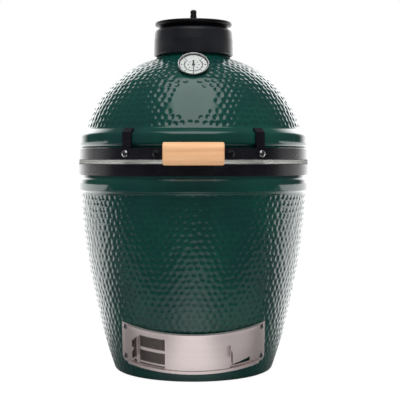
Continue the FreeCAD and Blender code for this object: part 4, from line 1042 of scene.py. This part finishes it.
def build_pointer():
    """A heavy pointer: a broad tail, a hub and a long thin tip, on the dial's axis."""
    tail, tail_end = 1.5, 11.6
    hub = 3.0
    tip_base, tip, tip_end = 0.75, 0.35, -18.7
    outline = [(-tail, tail_end), (-tail, 3.4)]
    outline += [(hub * math.cos(a), hub * math.sin(a)) for a in np.radians(np.linspace(120, 240, 9))]
    outline += [(-tip_base, -4), (-tip, tip_end), (tip, tip_end), (tip_base, -4)]
    outline += [(hub * math.cos(a), hub * math.sin(a)) for a in np.radians(np.linspace(-60, 60, 9))]
    outline += [(tail, 3.4), (tail, tail_end)]
    points, faces = prism(outline, POINTER_LEVEL - 0.2, POINTER_LEVEL + 0.2, on_dial)
    piece = new_piece("dial_pointer", points, faces, "pointer_black", "pointer",
                      ("thermometer_pointer",))
    piece.data.shade_flat()


# ================================================================ carried-over CAD nodes
CARRIED = {
    "firebrick": ("firebox", "fire_ring"),
    "cast_iron": ("fire_grate",),
    "rod_steel": ("cooking_grid",),
    "black_steel": (
        "lower_band", "upper_band", "hinge_lower_bracket", "hinge_upper_bracket", "handle_bracket_left",
        "handle_bracket_right", "handle_arm_left", "handle_arm_right", "bracket_spacers"),
    "zinc": (
        "hinge_pin", "hinge_pin_nuts", "hinge_washers", "hinge_lower_bolts", "hinge_upper_bolts",
        "handle_rod", "knob_stud", "thermometer_probe", "probe_clip"),
    "stainless": ("draft_frame",),
    "door_stainless": ("draft_door",),
    "screen_stainless": ("ember_screen",),
    "bolt_steel": ("draft_screws", "bracket_bolts"),
    "plate_black": ("grip_washers", "handle_rod_nuts", "vent_plate", "vent_rotor"),
    "cap_black": ("chimney_collar", "swing_pin", "knob_nut"),
    "seal": ("collar_seal",),
    "pointer_black": ("thermometer_case",),
    "lens_glass": ("thermometer_lens",),
}


def dress_carried():
    """Materials for the CAD nodes whose shape stays."""
    for look, nodes in CARRIED.items():
        for node in nodes:
            dress(NODES[node], look)


# ================================================================ floor, light and camera
def coordinates(tree, coordinate):
    """The three numbers of a texture coordinate, as Fields."""
    where = tree.nodes.new("ShaderNodeTexCoord")
    split = tree.nodes.new("ShaderNodeSeparateXYZ")
    tree.links.new(where.outputs[coordinate], split.inputs[0])
    return [Field(tree, split.outputs[axis]) for axis in "XYZ"]


# What mirror-like surfaces see: a backdrop, dimmed in the middle, a lamp above the front, a
# dim room, and the floor behind, in front and close to the grill.
BACKDROP = 3.6
MIDDLE = 0.18
SOFTBOX = 2.6
ROOM = 0.12
FLOOR_BEHIND = 2.7
FLOOR_PATCH = 0.7
FLOOR_NEAR = 0.85
FLOOR_ROOM = 0.072
# What matt surfaces and the camera see.
FILL_LOW, FILL_HIGH = 0.319, 0.725
FLOOR_WHITE = 1.16
FLOOR_WHITE_SHARE = 0.8
LAMP_POWER = 42
CAMERA_PLACE = (0, -2.122, 0.419)
CAMERA_DROP = math.radians(2.18)
CAMERA_TURN = math.radians(-0.355)
LENS = 94.5


def stage():
    """A plain white floor.  Mirror-like surfaces see it lit behind the grill and in two
    patches in front, and dark elsewhere, as under studio lamps.  Edges are in metres."""
    bpy.ops.mesh.primitive_plane_add(size=60)
    floor = bpy.context.object
    floor.name = "floor"
    n = Nodes("white_floor")
    n.set(Base_Color=(0.9, 0.9, 0.9, 1), Roughness=0.9, Specular_IOR_Level=0.0)
    x, y, _ = coordinates(n.tree, "Object")
    across = x.math("ABSOLUTE")
    behind = y.step(-0.15, 0.3, 0, FLOOR_BEHIND) * across.step(0.1, 0.45, MIDDLE, 1)
    patch = across.step(0.05, 0.3, 1, 0) * y.between((-1.05, -0.7), (-0.5, -0.25))
    near = across.step(0.02, 0.13, 1, 0.42) * y.between((-0.46, -0.4), (-0.22, -0.12))
    seen = behind + patch * FLOOR_PATCH + near * FLOOR_NEAR + FLOOR_ROOM
    path = n.add("ShaderNodeLightPath")
    lit = n.add("ShaderNodeEmission", Color=(1, 1, 1, 1))
    n.link(seen.socket, lit.inputs["Strength"])
    white = n.add("ShaderNodeEmission", Color=(1, 1, 1, 1), Strength=FLOOR_WHITE)
    for_camera = n.add("ShaderNodeMixShader")
    camera_share = Field(n.tree, path.outputs["Is Camera Ray"]) * FLOOR_WHITE_SHARE
    n.link(camera_share.socket, for_camera.inputs[0])
    n.link(n.shader.outputs[0], for_camera.inputs[1])
    n.link(white.outputs[0], for_camera.inputs[2])
    for_mirrors = n.add("ShaderNodeMixShader")
    n.link(path.outputs["Is Glossy Ray"], for_mirrors.inputs[0])
    n.link(for_camera.outputs[0], for_mirrors.inputs[1])
    n.link(lit.outputs[0], for_mirrors.inputs[2])
    n.link(for_mirrors.outputs[0], n.tree.nodes["Material Output"].inputs["Surface"])
    floor.data.materials.append(n.material)


def studio():
    """A white room light, stronger from above.  Mirror-like surfaces see a bright backdrop
    behind the grill and one large soft lamp above its front instead.  Edges are in parts of
    a direction whose length is 1."""
    world = bpy.data.worlds.new("studio")
    bpy.context.scene.world = world
    world.use_nodes = True
    tree = world.node_tree
    tree.nodes.clear()
    x, y, z = coordinates(tree, "Generated")
    across = x.math("ABSOLUTE")
    backdrop = y.step(0.56, 0.82, 0, BACKDROP) * across.step(0.06, 0.36, MIDDLE, 1)
    lamp = across.step(0.26, 0.42, 1, 0) * z.step(0.42, 0.6) * y.step(0.02, 0.22, 1, 0)
    mirrored = backdrop + lamp * SOFTBOX + ROOM
    fill = z.step(-0.2, 0.9, FILL_LOW, FILL_HIGH)
    path = tree.nodes.new("ShaderNodeLightPath")
    surfaces = tree.nodes.new("ShaderNodeMix")
    surfaces.data_type = "FLOAT"
    tree.links.new(path.outputs["Is Glossy Ray"], surfaces.inputs[0])
    tree.links.new(fill.socket, surfaces.inputs[2])
    tree.links.new(mirrored.socket, surfaces.inputs[3])
    room = tree.nodes.new("ShaderNodeBackground")
    tree.links.new(surfaces.outputs[0], room.inputs["Strength"])
    white = tree.nodes.new("ShaderNodeBackground")
    mix = tree.nodes.new("ShaderNodeMixShader")
    output = tree.nodes.new("ShaderNodeOutputWorld")
    for background in (room, white):
        background.inputs["Color"].default_value = (1, 1, 1, 1)
    tree.links.new(path.outputs["Is Camera Ray"], mix.inputs[0])
    tree.links.new(room.outputs[0], mix.inputs[1])
    tree.links.new(white.outputs[0], mix.inputs[2])
    tree.links.new(mix.outputs[0], output.inputs["Surface"])


def overhead_lamp():
    """One large soft lamp above the front, which casts the soft shadows."""
    lamp = bpy.data.lights.new("overhead_lamp", "AREA")
    lamp.shape = "RECTANGLE"
    lamp.size = 1.6
    lamp.size_y = 1.2
    lamp.energy = LAMP_POWER
    thing = bpy.data.objects.new("overhead_lamp", lamp)
    thing.location = (0, -1.2, 2.3)
    aim = Vector((0, 0, 0.45)) - thing.location
    thing.rotation_euler = aim.to_track_quat("-Z", "Y").to_euler()
    thing.visible_glossy = False
    bpy.context.scene.collection.objects.link(thing)


def camera():
    """The camera in front of the grill, a little above its middle and looking slightly down."""
    data = bpy.data.cameras.new("camera")
    data.sensor_width = 36
    data.lens = LENS
    thing = bpy.data.objects.new("camera", data)
    thing.location = CAMERA_PLACE
    thing.rotation_euler = (math.radians(90) - CAMERA_DROP, 0, CAMERA_TURN)
    bpy.context.scene.collection.objects.link(thing)
    bpy.context.scene.camera = thing


bpy.context.scene.view_settings.view_transform = "Standard"
camera()
stage()
studio()
overhead_lamp()
dress_carried()
build_dome()
build_base()
build_grip()
build_ember_mesh()
build_springs()
build_thermometer()
build_pointer()
build_knob()
build_felt_ring("lower_felt", "lower_gasket", "base", 1.0, 3)
build_felt_ring("upper_felt", "upper_gasket", "lid", 1.4, 4)
